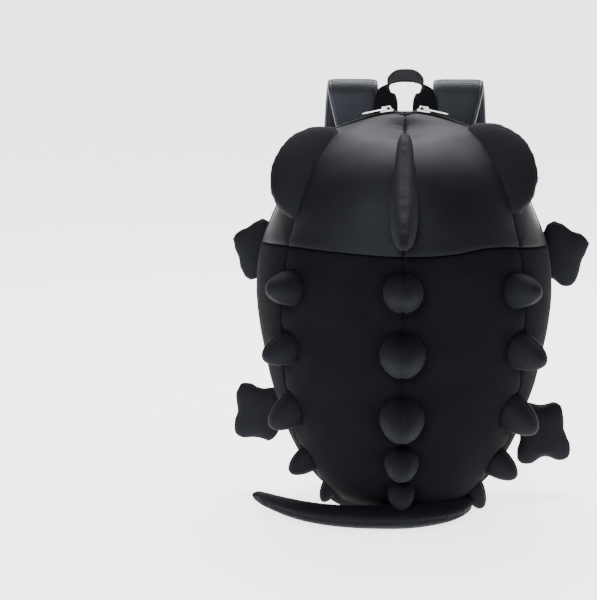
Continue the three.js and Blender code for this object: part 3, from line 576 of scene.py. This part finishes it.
for side, sign in (("left", -1), ("right", 1)):
    mesh = bmesh.new()
    for k, place in enumerate(np.arange(1, length[-1] / 2, 0.95)):
        if sign > 0:
            place = length[-1] - place
        spot = np.array([np.interp(place, length, mouth_line[:, i]) for i in range(3)])
        ahead = np.array([np.interp(place + 1, length, mouth_line[:, i]) for i in range(3)]) - spot
        apart = np.interp(place, length, opening)
        along = Vector(ahead).normalized()
        aside = Vector((0, 1, 0))
        up = along.cross(aside)
        half = 1 if k % 2 else -1
        made = bmesh.ops.create_cube(mesh, size=1)
        shape = Matrix.Diagonal((TOOTH[0], TOOTH[1], TOOTH[2], 1))
        turn = Matrix((along, aside, up)).transposed().to_4x4()
        proud = 0.9 if up.z > 0 or up.x * sign > 0 else -0.9
        place = Matrix.Translation(Vector(spot) + aside * half * (1.0 + apart) + up * proud)
        bmesh.ops.transform(mesh, matrix=Matrix.Scale(MM, 4) @ place @ turn @ shape, verts=made["verts"])
    piece = link_up(f"zip_teeth_{side}", mesh, nylon)
    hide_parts(f"zip_chain_{side}")

# Sliders and pulls: cast silver-coloured metal. They keep their solids, with softened edges.
cast_metal = bpy.data.materials.new("cast_metal")
cast_metal.use_nodes = True
shader = cast_metal.node_tree.nodes["Principled BSDF"]
shader.inputs["Metallic"].default_value = 1
where = node(cast_metal, "ShaderNodeTexCoord")
marks = node(cast_metal, "ShaderNodeTexNoise", Scale=420, Detail=4)
cast_metal.node_tree.links.new(where.outputs["Object"], marks.inputs["Vector"])
ramp = node(cast_metal, "ShaderNodeValToRGB")
ramp.color_ramp.elements[0].color = (0.62, 0.63, 0.66, 1)
ramp.color_ramp.elements[1].color = (0.80, 0.81, 0.83, 1)
cast_metal.node_tree.links.new(marks.outputs["Fac"], ramp.inputs["Fac"])
cast_metal.node_tree.links.new(ramp.outputs["Color"], shader.inputs["Base Color"])
worn = node(cast_metal, "ShaderNodeMapRange")
worn.inputs["To Min"].default_value = 0.16
worn.inputs["To Max"].default_value = 0.34
cast_metal.node_tree.links.new(marks.outputs["Fac"], worn.inputs["Value"])
cast_metal.node_tree.links.new(worn.outputs["Result"], shader.inputs["Roughness"])


def soften(piece, material, width):
    """Joins a CAD solid's facets, rounds its edges and gives it its material."""
    weld = piece.modifiers.new("join", "WELD")
    weld.merge_threshold = 1e-5
    bevel = piece.modifiers.new("edges", "BEVEL")
    bevel.width = width
    bevel.segments = 2
    bevel.limit_method = "ANGLE"
    for k in range(max(1, len(piece.material_slots))):
        piece.material_slots[k].material = material


for side in ("left", "right"):
    soften(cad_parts[f"zip_slider_{side}"], cast_metal, 0.0003)
    soften(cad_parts[f"zip_pull_{side}"], cast_metal, 0.0003)

# Lining: a plain black inner bag, seen only through the mouth of the zip.
lining_cloth = cloth_material(
    "lining_cloth", (0.003, 0.003, 0.004), (0.005, 0.005, 0.006), 0.8, 0.0, 0.0008, 0.00005, specular=0.1,
)
rows = []
for along in np.linspace(float(ALONG[1]), float(ALONG[-2]), 60):
    height, half, front, rear, middle, _ = [float(v) for v in section(np.array([along]))]
    c = np.linspace(0, 2 * math.pi, 65)
    s, k = np.sin(c), np.cos(c)
    power = np.where(s >= 0, FRONT_POWER, REAR_POWER)
    room = 9 + 15 * min(1, max(0, (height - 315) / 40))
    inner = 1 - room / max(half, 2 * room)
    x = half * np.sign(k) * np.abs(k) ** (2 / power) * inner
    y = middle - np.where(s >= 0, front, rear) * np.sign(s) * np.abs(s) ** (2 / power) * inner
    rows.append(np.stack([x, y, height * 0.95 + 8 + 0 * x], axis=-1))
lining = grid_piece("lining", np.stack(rows), lining_cloth)

# Stuffed pieces, all of the same black cloth, sewn from two or more parts and filled.
# Ears: half discs whose straight side is sewn into the seam between head and cheek.
plush = cloth_material(
    "black_plush", (0.0034, 0.0036, 0.0048), (0.0056, 0.0060, 0.0078), 0.66, 0.014, 0.0016, 0.00022,
    pattern="mesh", specular=0.14, on="Object",
)
EAR_BULGE, EAR_THICKNESS, EAR_TOP, EAR_FOOT, EAR_TOP_ANGLE, EAR_FOOT_ANGLE = 46.5, 25, 0.956, 0.742, 18.5, 36


def along_at(height):
    return np.interp(height, HEIGHTS, ALONG)


def seat_on_bag(height, degrees):
    """The place on the bag at a height and an angle round it, and the way out of it."""
    turn, along = np.array(math.radians(degrees)), np.array(float(along_at(height)))
    place = Vector(on_bag(turn, along))
    up = Vector(on_bag(turn, along + 3)) - Vector(on_bag(turn, along - 3))
    around = Vector(on_bag(turn + 0.03, along)) - Vector(on_bag(turn - 0.03, along))
    return place, up.cross(around).normalized()


def stuffed(name, points, material, replaces):
    """A filled piece that keeps the shape it was drawn with."""
    piece = grid_piece(name, points, material, closed=True)
    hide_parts(*replaces)
    return piece


def filled(name, points, material, replaces, level, cap=6, start=0.93):
    """A filled piece, blown up as cloth: an evenly meshed and slightly smaller copy swells under
    pressure for 20 frames, no point moving further than cap, and comes back to its cut size. The
    seam's groove is pressed in afterwards where level, the distance from the seam's plane, is small."""
    middle = points.reshape(-1, 3).mean(axis=0)
    piece = grid_piece(name, middle + (points - middle) * start, material, closed=True)
    even = piece.modifiers.new("even", "REMESH")
    even.mode, even.voxel_size = "VOXEL", 0.004
    calm = piece.modifiers.new("calm", "SMOOTH")
    calm.factor, calm.iterations = 0.5, 5
    meshed = bpy.data.meshes.new_from_object(piece.evaluated_get(bpy.context.evaluated_depsgraph_get()))
    piece.modifiers.clear()
    piece.data = meshed
    before = np.array([vert.co for vert in meshed.vertices])
    cloth = piece.modifiers.new("filling", "CLOTH")
    cloth.settings.use_pressure = True
    cloth.settings.uniform_pressure_force = 4
    cloth.settings.effector_weights.gravity = 0
    cloth.point_cache.frame_end = 20
    for step in range(1, 21):
        bpy.context.scene.frame_set(step)
    swollen = piece.evaluated_get(bpy.context.evaluated_depsgraph_get())
    move = np.array([vert.co for vert in swollen.data.vertices]) - before
    bpy.context.scene.frame_set(1)
    piece.modifiers.clear()
    length = np.maximum(np.linalg.norm(move, axis=-1, keepdims=True), 1e-9)
    after = before + move * np.minimum(1, cap * MM / length)
    cut = points.reshape(-1, 3) * MM
    share = (after - after.min(axis=0)) / (after.max(axis=0) - after.min(axis=0))
    after = cut.min(axis=0) + share * (cut.max(axis=0) - cut.min(axis=0))
    for vert, place in zip(meshed.vertices, after):
        vert.co = place
    calm = piece.modifiers.new("calm", "SMOOTH")
    calm.factor, calm.iterations = 0.5, 3
    finer = piece.modifiers.new("finer", "SUBSURF")
    finer.levels = finer.render_levels = 1
    smooth = bpy.data.meshes.new_from_object(piece.evaluated_get(bpy.context.evaluated_depsgraph_get()))
    piece.modifiers.clear()
    piece.data = smooth
    places = np.array([vert.co for vert in smooth.vertices]) / MM
    outward = np.array([vert.normal for vert in smooth.vertices])
    near = np.exp(-((level(places) / 1.9) ** 2))
    gather = np.array([noise.noise(Vector(place) / 9) for place in places])
    beside = np.exp(-((level(places) / 6) ** 2))
    places -= outward * (near * (1.1 + 0.8 * gather) + 0.25 * gather * beside)[:, None]
    for vert, place in zip(smooth.vertices, places):
        vert.co = place * MM
    for face in smooth.polygons:
        face.use_smooth = True
    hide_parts(*replaces)
    return piece


def off_plane(centre, normal):
    """Distance of places from a plane through centre."""
    return lambda places: (places - np.array(centre)) @ np.array(normal)


def pillow(radius_at, thickness, centre, along_x, along_y, seed, around=96):
    """Two sheets cut to an outline, sewn round it and filled, in the frame that two directions give."""
    angle, t = np.meshgrid(np.linspace(0, 2 * math.pi, around + 1), np.linspace(0, 1, 41))
    level = -np.cos(t * math.pi)
    scale = np.maximum(1 - np.abs(level) ** 2.2, 0) ** 0.55
    radius = radius_at(angle) * scale * (1 - 0.05 * np.exp(-((level / 0.10) ** 2)))
    pucker = [noise.noise(Vector((a * 9, seed, 0))) for a in (angle % (2 * math.pi)).ravel()]
    pucker = np.array(pucker).reshape(angle.shape)
    pucker[:, -1] = pucker[:, 0]
    radius *= 1 + 0.035 * pucker * np.exp(-((level / 0.35) ** 2))
    x = Vector(along_x).normalized()
    z = x.cross(Vector(along_y)).normalized()
    y = z.cross(x)
    flat = np.stack([radius * np.cos(angle), radius * np.sin(angle), level * thickness / 2], axis=-1)
    return flat @ np.array([x, y, z]) + np.array(centre)


for side, sign, skew in (("left", -1, 0.08), ("right", 1, 0.17)):
    top = seat_on_bag(EAR_TOP * BAG_HEIGHT, EAR_TOP_ANGLE if sign > 0 else 180 - EAR_TOP_ANGLE)[0]
    low = seat_on_bag(EAR_FOOT * BAG_HEIGHT, EAR_FOOT_ANGLE if sign > 0 else 180 - EAR_FOOT_ANGLE)[0]
    chord = top - low

    def half_disc(angle):
        reach = np.where(np.sin(angle) > 0, EAR_BULGE, EAR_BULGE * 0.35)
        ellipse = np.hypot(np.cos(angle) / (chord.length / 2), np.sin(angle) / reach)
        return (1 + skew * np.cos(angle)) / ellipse

    points = pillow(half_disc, EAR_THICKNESS, (top + low) / 2, chord, (sign, 0, 0), seed=61 + sign)
    flat = chord.normalized().cross(Vector((sign, 0, 0))).normalized()
    filled(f"ear_stuffed_{side}", points, plush, [f"ear_{side}"], off_plane((top + low) / 2, flat))

# Fin: a tall blade of the same cloth down the middle of the head, two sides sewn at its edge. Along
# is the share of the line from its foot to its head, out and thick the shares of its reach and girth.
FIN_TOP, FIN_FOOT, FIN_REACH, FIN_THICKNESS, FIN_ROOT = 380.1, 288.2, 56, 28, 0.35
FIN = np.array([
    (-0.05, 0.78, 0.52), (-0.02, 0.98, 0.70), (0.05, 1.05, 0.84), (0.16, 1.03, 0.95), (0.33, 0.89, 1.00),
    (0.56, 0.63, 0.97), (0.80, 0.34, 0.82), (0.96, 0.16, 0.50), (1.03, 0.02, 0.28),
])
head, neck = np.array(seat_on_bag(FIN_TOP, 90)[0]), np.array(seat_on_bag(FIN_FOOT, 90)[0])
t = np.concatenate([[0, 0, 0], np.linspace(0, 8, 97), [8, 8]])
along, out, thick = [smooth_through(FIN[:, i], np.arange(9.0), t) for i in range(3)]
closing = np.concatenate([[0, 0.55, 0.86], np.ones(97), [0.6, 0]])
angle = np.linspace(-MEDIAN, MEDIAN, 45)
rows = []
for k in range(len(t)):
    foot = neck + (head - neck) * along[k]
    seam = np.exp(-((angle / 0.11) ** 2))
    pucker = 1 + 0.012 * np.array([noise.noise(Vector((t[k] * 2.5, a * 1.5, 3))) for a in angle])
    x = np.sin(angle) * thick[k] * FIN_THICKNESS / 2 * pucker
    away = (np.cos(angle) * out[k] * pucker - 0.02 * seam) * FIN_REACH
    x = np.concatenate([[-0.9 * thick[k] * FIN_THICKNESS / 2], x, [0.9 * thick[k] * FIN_THICKNESS / 2]])
    away = np.concatenate([[-FIN_ROOT * FIN_REACH], away, [-FIN_ROOT * FIN_REACH]])
    x, away = np.append(x, x[0]), np.append(away, away[0])
    centre_out = 0.3 * out[k] * FIN_REACH
    away = centre_out + (away - centre_out) * closing[k]
    rows.append(foot + np.stack([x * closing[k], -away, 0 * x], axis=-1))
points = np.stack(rows)
filled("fin_stuffed", points, plush, ["head_fin"], off_plane((0, 0, 0), (1, 0, 0)), cap=5, start=0.96)

# Spikes: stuffed cones with a seam up their front and back, sewn down the spine and the side seams.
def spike(name, height, degrees, size, lean, width, reach, seed):
    foot, out = seat_on_bag(height * BAG_HEIGHT, degrees)
    out = (out + Vector((0, 0, -lean))).normalized()
    width, reach = width * size, reach * size
    angle, t = np.meshgrid(np.linspace(0, 2 * math.pi, 57), np.linspace(0, 1, 35))
    rise = np.where(t < 0.2, -6 + t / 0.2 * 6, (t - 0.2) / 0.8 * reach)
    share = (t - 0.2).clip(0, 1) / 0.8
    radius = width / 2 * np.sqrt(np.maximum(1 - share**4, 0)) * (1 - 0.42 * share**1.3)
    gather = np.cos(15 * angle + 2 * np.sin(3 * angle + seed)) * np.exp(-share / 0.22)
    seam = np.exp(-((np.abs(np.cos(angle)) / 0.13) ** 2))
    radius = radius * (1 + 0.022 * gather) * (1 - 0.075 * seam)
    turn = up_to(out)
    flat = np.stack([radius * np.cos(angle), radius * np.sin(angle), rise], axis=-1)
    points = flat @ np.array(turn.transposed()) + np.array(foot)
    droop = Vector((0, 0, -1)) * lean
    points += (share**2 * 2.5)[..., None] * np.array(droop)
    stuffed(f"{name}_stuffed", points, plush, [name])


def up_to(out):
    """A turn that takes the vertical to the way out, keeping the seam upright."""
    side = Vector((0, 0, 1)).cross(out).normalized()
    return Matrix((side, out.cross(side), out)).transposed()


for k, (height, degrees, lean, size) in enumerate(SPINE_SPIKES):
    spike(f"spine_spike_{k + 1}", height, degrees, size, lean, SPINE_WIDTH, SPINE_REACH, k)
for k, (height, degrees, lean, left, right) in enumerate(SIDE_SPIKES):
    spike(f"side_spike_left_{k + 1}", height, 180 - degrees, left, lean, SIDE_WIDTH, SIDE_REACH, k + 7)
    spike(f"side_spike_right_{k + 1}", height, degrees, right, lean, SIDE_WIDTH, SIDE_REACH, k + 13)

# Feet: flat stuffed paws with three toes, sewn into the sides by the ankle.
FOOT_SIZE, FOOT_THICKNESS, FOOT_Y, TOE_WIDTH, PALM, ANKLE_REACH = 38, 21, 72.5, 32, 0.60, 1.05
for name, sign, out, height, ankle, toes in (
    ("front_foot_left", -1, 0.14, 0.641, -30, ((78, 0.87), (151, 0.80), (254, 0.95))),
    ("front_foot_right", 1, 0.42, 0.641, 214, ((107, 0.89), (24, 0.83), (-76, 1.04))),
    ("rear_foot_left", -1, 0.80, 0.204, 30, ((123, 0.96), (229, 0.97), (293, 0.92))),
    ("rear_foot_right", 1, 0.94, 0.157, 132, ((66, 0.95), (-45, 1.02), (236, 1.08))),
):
    def paw(angle):
        def bump(direction, length, width):
            turn = (np.degrees(angle) - direction + 180) % 360 - 180
            return length * np.exp(-((turn / width) ** 2))
        toe = np.maximum.reduce([bump(turn, reach - PALM, TOE_WIDTH) for turn, reach in toes])
        return FOOT_SIZE * (PALM + np.maximum(toe, bump(ankle, ANKLE_REACH - PALM, TOE_WIDTH * 1.3)))

    half = float(section(np.array(float(along_at(height * BAG_HEIGHT))))[1])
    centre = (sign * (half + out * FOOT_SIZE), FOOT_Y, height * BAG_HEIGHT)
    points = pillow(paw, FOOT_THICKNESS, centre, (1, 0, 0), (0, 0, 1), seed=len(name) + ankle, around=144)
    filled(f"{name}_stuffed", points, plush, [name], off_plane(centre, (0, 1, 0)))

# Tail: a long stuffed crescent lying on the floor in a bow in front of the base.
TAIL_SWEEP, TAIL_REACH, TAIL_WIDTH, TAIL_HEIGHT = 152, 72, 50, 25
TAIL = np.array([
    (0.30, -0.10, 1.00, 0.90, 0), (0.31, 0.34, 1.00, 1.00, 0), (0.22, 0.70, 0.94, 1.00, 0),
    (0.05, 0.93, 0.86, 1.00, 0), (-0.15, 1.00, 0.80, 1.00, 0), (-0.37, 0.98, 0.74, 0.98, 0),
    (-0.59, 0.82, 0.66, 0.92, 0.04), (-0.80, 0.50, 0.50, 0.78, 0.15), (-0.94, 0.19, 0.32, 0.56, 0.30),
    (-0.99, 0.07, 0.14, 0.26, 0.46),
])
t = np.linspace(0, 9, 181)
across, forward, width, height, lift = [smooth_through(TAIL[:, i], np.arange(10.0), t) for i in range(5)]
round_off = np.sqrt(np.clip(1 - ((t - 8.75) / 0.25).clip(0, 1) ** 2, 0, 1))
width, height = width * round_off, height * round_off
line = np.stack([across * TAIL_SWEEP, -forward * TAIL_REACH, (height / 2 + lift) * TAIL_HEIGHT], axis=-1)
tangent = np.gradient(line, axis=0)
side = np.cross(np.array([0, 0, 1.0]), tangent)
side /= np.linalg.norm(side, axis=-1, keepdims=True)
angle = np.linspace(0, 2 * math.pi, 65)
rows = []
for k in range(len(t)):
    seam = np.exp(-((np.sin(angle) / 0.12) ** 2))
    spots = [Vector((math.cos(a) * 2, math.sin(a) * 2, t[k] * 2.2)) for a in angle]
    wave = 1 + 0.02 * np.array([noise.noise(spot) for spot in spots])
    wide = (width[k] * TAIL_WIDTH / 2 - 0.9 * seam * min(1, width[k] * 2)) * wave
    tall = height[k] * TAIL_HEIGHT / 2 * wave
    across, upward = (np.cos(angle) * wide)[:, None], (np.sin(angle) * tall)[:, None]
    rows.append(line[k] + side[k] * across + np.array([0, 0, 1.0]) * upward)
points = np.stack([np.tile(rows[0].mean(axis=0), (65, 1)), *rows, np.tile(rows[-1].mean(axis=0), (65, 1))])
points[..., 2] = np.maximum(points[..., 2], 0.2)
seam_height = line[::-1, 0], line[::-1, 2]
filled(
    "tail_stuffed", points, plush, ["tail"],
    lambda places: places[:, 2] - np.interp(places[:, 0], *seam_height), cap=5, start=0.96,
)

# Eyes: white felt leaves with a flat brow, sewn flat on the cheeks.
felt = bpy.data.materials.new("white_felt")
felt.use_nodes = True
shader = felt.node_tree.nodes["Principled BSDF"]
shader.inputs["Roughness"].default_value = 0.85
where = node(felt, "ShaderNodeTexCoord")
fibres = node(felt, "ShaderNodeTexNoise", Scale=1400, Detail=4)
felt.node_tree.links.new(where.outputs["Object"], fibres.inputs["Vector"])
ramp = node(felt, "ShaderNodeValToRGB")
ramp.color_ramp.elements[0].color = (0.72, 0.72, 0.71, 1)
ramp.color_ramp.elements[1].color = (0.90, 0.90, 0.89, 1)
felt.node_tree.links.new(fibres.outputs["Fac"], ramp.inputs["Fac"])
felt.node_tree.links.new(ramp.outputs["Color"], shader.inputs["Base Color"])
bump = node(felt, "ShaderNodeBump", Strength=0.6, Distance=0.0002)
felt.node_tree.links.new(fibres.outputs["Fac"], bump.inputs["Height"])
felt.node_tree.links.new(bump.outputs["Normal"], shader.inputs["Normal"])
EYE_LENGTH, EYE_WIDTH = 56, 27
for side, sign in (("left", -1), ("right", 1)):
    degrees = 11 if sign > 0 else 169
    at, out = seat_on_bag(0.845 * BAG_HEIGHT, degrees)
    slant = Vector((0, 0.6, 1))
    slant = (slant - out * slant.dot(out)).normalized()
    belly = out.cross(slant) * -sign
    c, t = np.meshgrid(np.linspace(-1, 1, 61), np.linspace(0, 1, 25))
    brow = -EYE_WIDTH * 0.25 * (1 - c**2)
    deep = EYE_WIDTH * 0.75 * (1 - c**2)
    u = c * EYE_LENGTH / 2
    v = brow + t * (deep - brow)
    rows = np.empty(c.shape + (3,))
    for j in range(c.shape[0]):
        for i in range(c.shape[1]):
            p = at + slant * float(u[j, i]) + belly * float(v[j, i])
            along = float(along_at(p.z))
            height, half, front, rear, middle, _ = [float(q) for q in section(np.array(along))]
            depth, power = (front, FRONT_POWER) if p.y < middle else (rear, REAR_POWER)
            x = half * max(0.0, 1 - (abs(p.y - middle) / depth) ** power) ** (1 / power)
            edge = min(t[j, i], 1 - t[j, i], (1 - abs(c[j, i])) * 2)
            proud = 3.2 + 1.4 * min(1, edge * 8) ** 0.5
            rows[j, i] = np.array([sign * x, p.y, p.z]) + np.array(out) * proud
    piece = grid_piece(f"eye_felt_{side}", rows, felt)
    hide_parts(f"eye_{side}")

# Handle: a loop of black nylon webbing, sewn flat to the back panel and turned on edge at its top.
webbing = cloth_material(
    "black_webbing", (0.009, 0.0092, 0.0108), (0.013, 0.0133, 0.0153), 0.72, 0.008, 0.0016, 0.00035,
    specular=0.06,
)
WEBBING_WIDTH, WEBBING_THICKNESS = 25, 2.4


def band(
    name, centres, wides, widths, thickness, material, replaces, corner=0.35, around=32,
):
    """A flat strap through centres, with its edges rounded; wides are the directions across it."""
    tangent = np.gradient(centres, axis=0)
    tangent /= np.linalg.norm(tangent, axis=-1, keepdims=True)
    sides = wides - tangent * (wides * tangent).sum(axis=-1, keepdims=True)
    sides /= np.linalg.norm(sides, axis=-1, keepdims=True)
    faces = np.cross(sides, tangent)
    angle = np.linspace(0, 2 * math.pi, around + 1)
    c = np.sign(np.cos(angle)) * np.abs(np.cos(angle)) ** corner
    s = np.sign(np.sin(angle)) * np.abs(np.sin(angle)) ** corner
    closing = np.ones(len(centres))
    closing[0] = closing[-1] = 0.0
    across = (c[None, :] * widths[:, None] / 2 * closing[:, None])[..., None]
    points = centres[:, None, :] + sides[:, None, :] * across
    points += faces[:, None, :] * (s[None, :] * thickness / 2 * closing[:, None])[..., None]
    piece = grid_piece(name, points, material, closed=True)
    if replaces:
        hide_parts(*replaces)
    return piece


HANDLE_FOOT, HANDLE_TOP, HANDLE_SPREAD, HANDLE_LEAN, HANDLE_TILT = 368.15, 437.8, 20, 12, math.radians(26)
t = np.linspace(-1, 1, 121)
rise = 1 - np.abs(t) ** 2.6
quarter = ((rise - 0.48) / 0.44).clip(0, 1) * MEDIAN
turn = np.where(t < 0, quarter, math.pi - quarter)
top = HANDLE_TOP - WEBBING_THICKNESS / 2 - WEBBING_WIDTH / 2 * math.sin(HANDLE_TILT)
centres = np.stack([
    HANDLE_SPREAD * np.sign(t) * np.minimum(1, np.abs(t) * 1.7) ** 0.8,
    96.5 + rise * HANDLE_LEAN,
    HANDLE_FOOT + rise * (top - HANDLE_FOOT),
], axis=-1)
wides = np.stack([
    np.cos(turn), np.sin(turn) * math.cos(HANDLE_TILT), np.sin(turn) * math.sin(HANDLE_TILT),
], axis=-1)
band(
    "handle_webbing", centres, wides, 0 * t + WEBBING_WIDTH, WEBBING_THICKNESS, webbing, ["handle"],
)

# Shoulder straps: padded air mesh over the wearer's side, from the back panel up, over and down.
# Its table goes down the strap: how far out and up it stands and how far from the middle, and its
# width, as shares of the room behind the back, of the rise above its anchor and of the spread.
STRAP_WIDTH, STRAP_THICKNESS, STRAP_ROOM, STRAP_SPREAD = 50, 10, 60, 55
STRAP_TOP, STRAP_ANCHOR, STRAP_END = 421.1, 337.9, 175.9
ANCHOR_PLACE, ADJUSTER_HEIGHT = (74.5, 95, 40), 24
STRAP = np.array([
    (0.095, 0.00, 0.76, 0.86), (0.150, 0.30, 0.81, 0.90), (0.240, 0.65, 0.91, 0.96),
    (0.350, 0.90, 0.98, 1.00), (0.540, 1.00, 1.00, 1.00), (0.720, 0.92, 1.03, 1.00),
    (0.850, 0.70, 1.06, 1.00), (0.950, 0.20, 1.10, 1.00),
    (0.960, -0.50, 1.14, 0.98), (0.880, -1.20, 1.18, 0.92), (0.720, -1.95, 1.22, 0.80),
])
strap_cloth = cloth_material(
    "strap_air_mesh", (0.0030, 0.0033, 0.0046), (0.005, 0.0054, 0.0072), 0.45, 0.012, 0.0022, 0.0003,
    pattern="mesh", specular=0.30,
)
binding = cloth_material(
    "binding_tape", (0.006, 0.0065, 0.0085), (0.010, 0.011, 0.014), 0.36, 0.03, 0.0009, 0.0001, specular=0.5,
)
plastic = bpy.data.materials.new("black_plastic")
plastic.use_nodes = True
shader = plastic.node_tree.nodes["Principled BSDF"]
shader.inputs["Base Color"].default_value = (0.005, 0.005, 0.0055, 1)
where = node(plastic, "ShaderNodeTexCoord")
grain = node(plastic, "ShaderNodeTexNoise", Scale=1600, Detail=3)
plastic.node_tree.links.new(where.outputs["Object"], grain.inputs["Vector"])
satiny = node(plastic, "ShaderNodeMapRange")
satiny.inputs["To Min"].default_value = 0.3
satiny.inputs["To Max"].default_value = 0.5
plastic.node_tree.links.new(grain.outputs["Fac"], satiny.inputs["Value"])
plastic.node_tree.links.new(satiny.outputs["Result"], shader.inputs["Roughness"])
bump = node(plastic, "ShaderNodeBump", Strength=0.4, Distance=0.0001)
plastic.node_tree.links.new(grain.outputs["Fac"], bump.inputs["Height"])
plastic.node_tree.links.new(bump.outputs["Normal"], shader.inputs["Normal"])
for side, sign in (("left", -1), ("right", 1)):
    t = np.linspace(0, 10, 161)
    out, rise, aside, wide = [smooth_through(STRAP[:, i], np.arange(11.0), t) for i in range(4)]
    fall = (STRAP_ANCHOR - STRAP_END) / 1.95
    height = STRAP_ANCHOR + np.where(rise > 0, rise * (STRAP_TOP - STRAP_ANCHOR), rise * fall)
    centres = np.stack([sign * aside * STRAP_SPREAD, 95 + out * STRAP_ROOM, height], axis=-1)
    wides = np.tile(np.array([1.0, 0, 0]), (len(t), 1))
    band(
        f"strap_pad_{side}", centres, wides, wide * STRAP_WIDTH, STRAP_THICKNESS, strap_cloth,
        [f"shoulder_strap_{side}"], corner=0.45, around=48,
    )
    for edge, way in (("inner", -sign), ("outer", sign)):
        rim = centres + np.array([1.0, 0, 0]) * (way * (wide * STRAP_WIDTH / 2 - 1.6))[:, None]
        band(
            f"strap_binding_{edge}_{side}", rim, wides, 0 * t + 5.4, 8.4, binding, [], corner=0.8,
            around=20,
        )
    end, anchor = Vector(centres[-1]), Vector((sign * ANCHOR_PLACE[0], *ANCHOR_PLACE[1:]))
    down = (anchor - end).normalized()
    start = end + down * (ADJUSTER_HEIGHT + 1.8)
    line = np.array([start.lerp(anchor + down * 3, s) for s in np.linspace(0, 1, 61)])
    wides = np.tile(np.array([1.0, 0, 0]), (61, 1))
    band(
        f"lower_strap_{side}", line, wides, np.full(61, float(WEBBING_WIDTH)), WEBBING_THICKNESS, webbing,
        [f"lower_webbing_{side}"],
    )
    soften(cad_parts[f"strap_adjuster_{side}"], plastic, 0.0006)
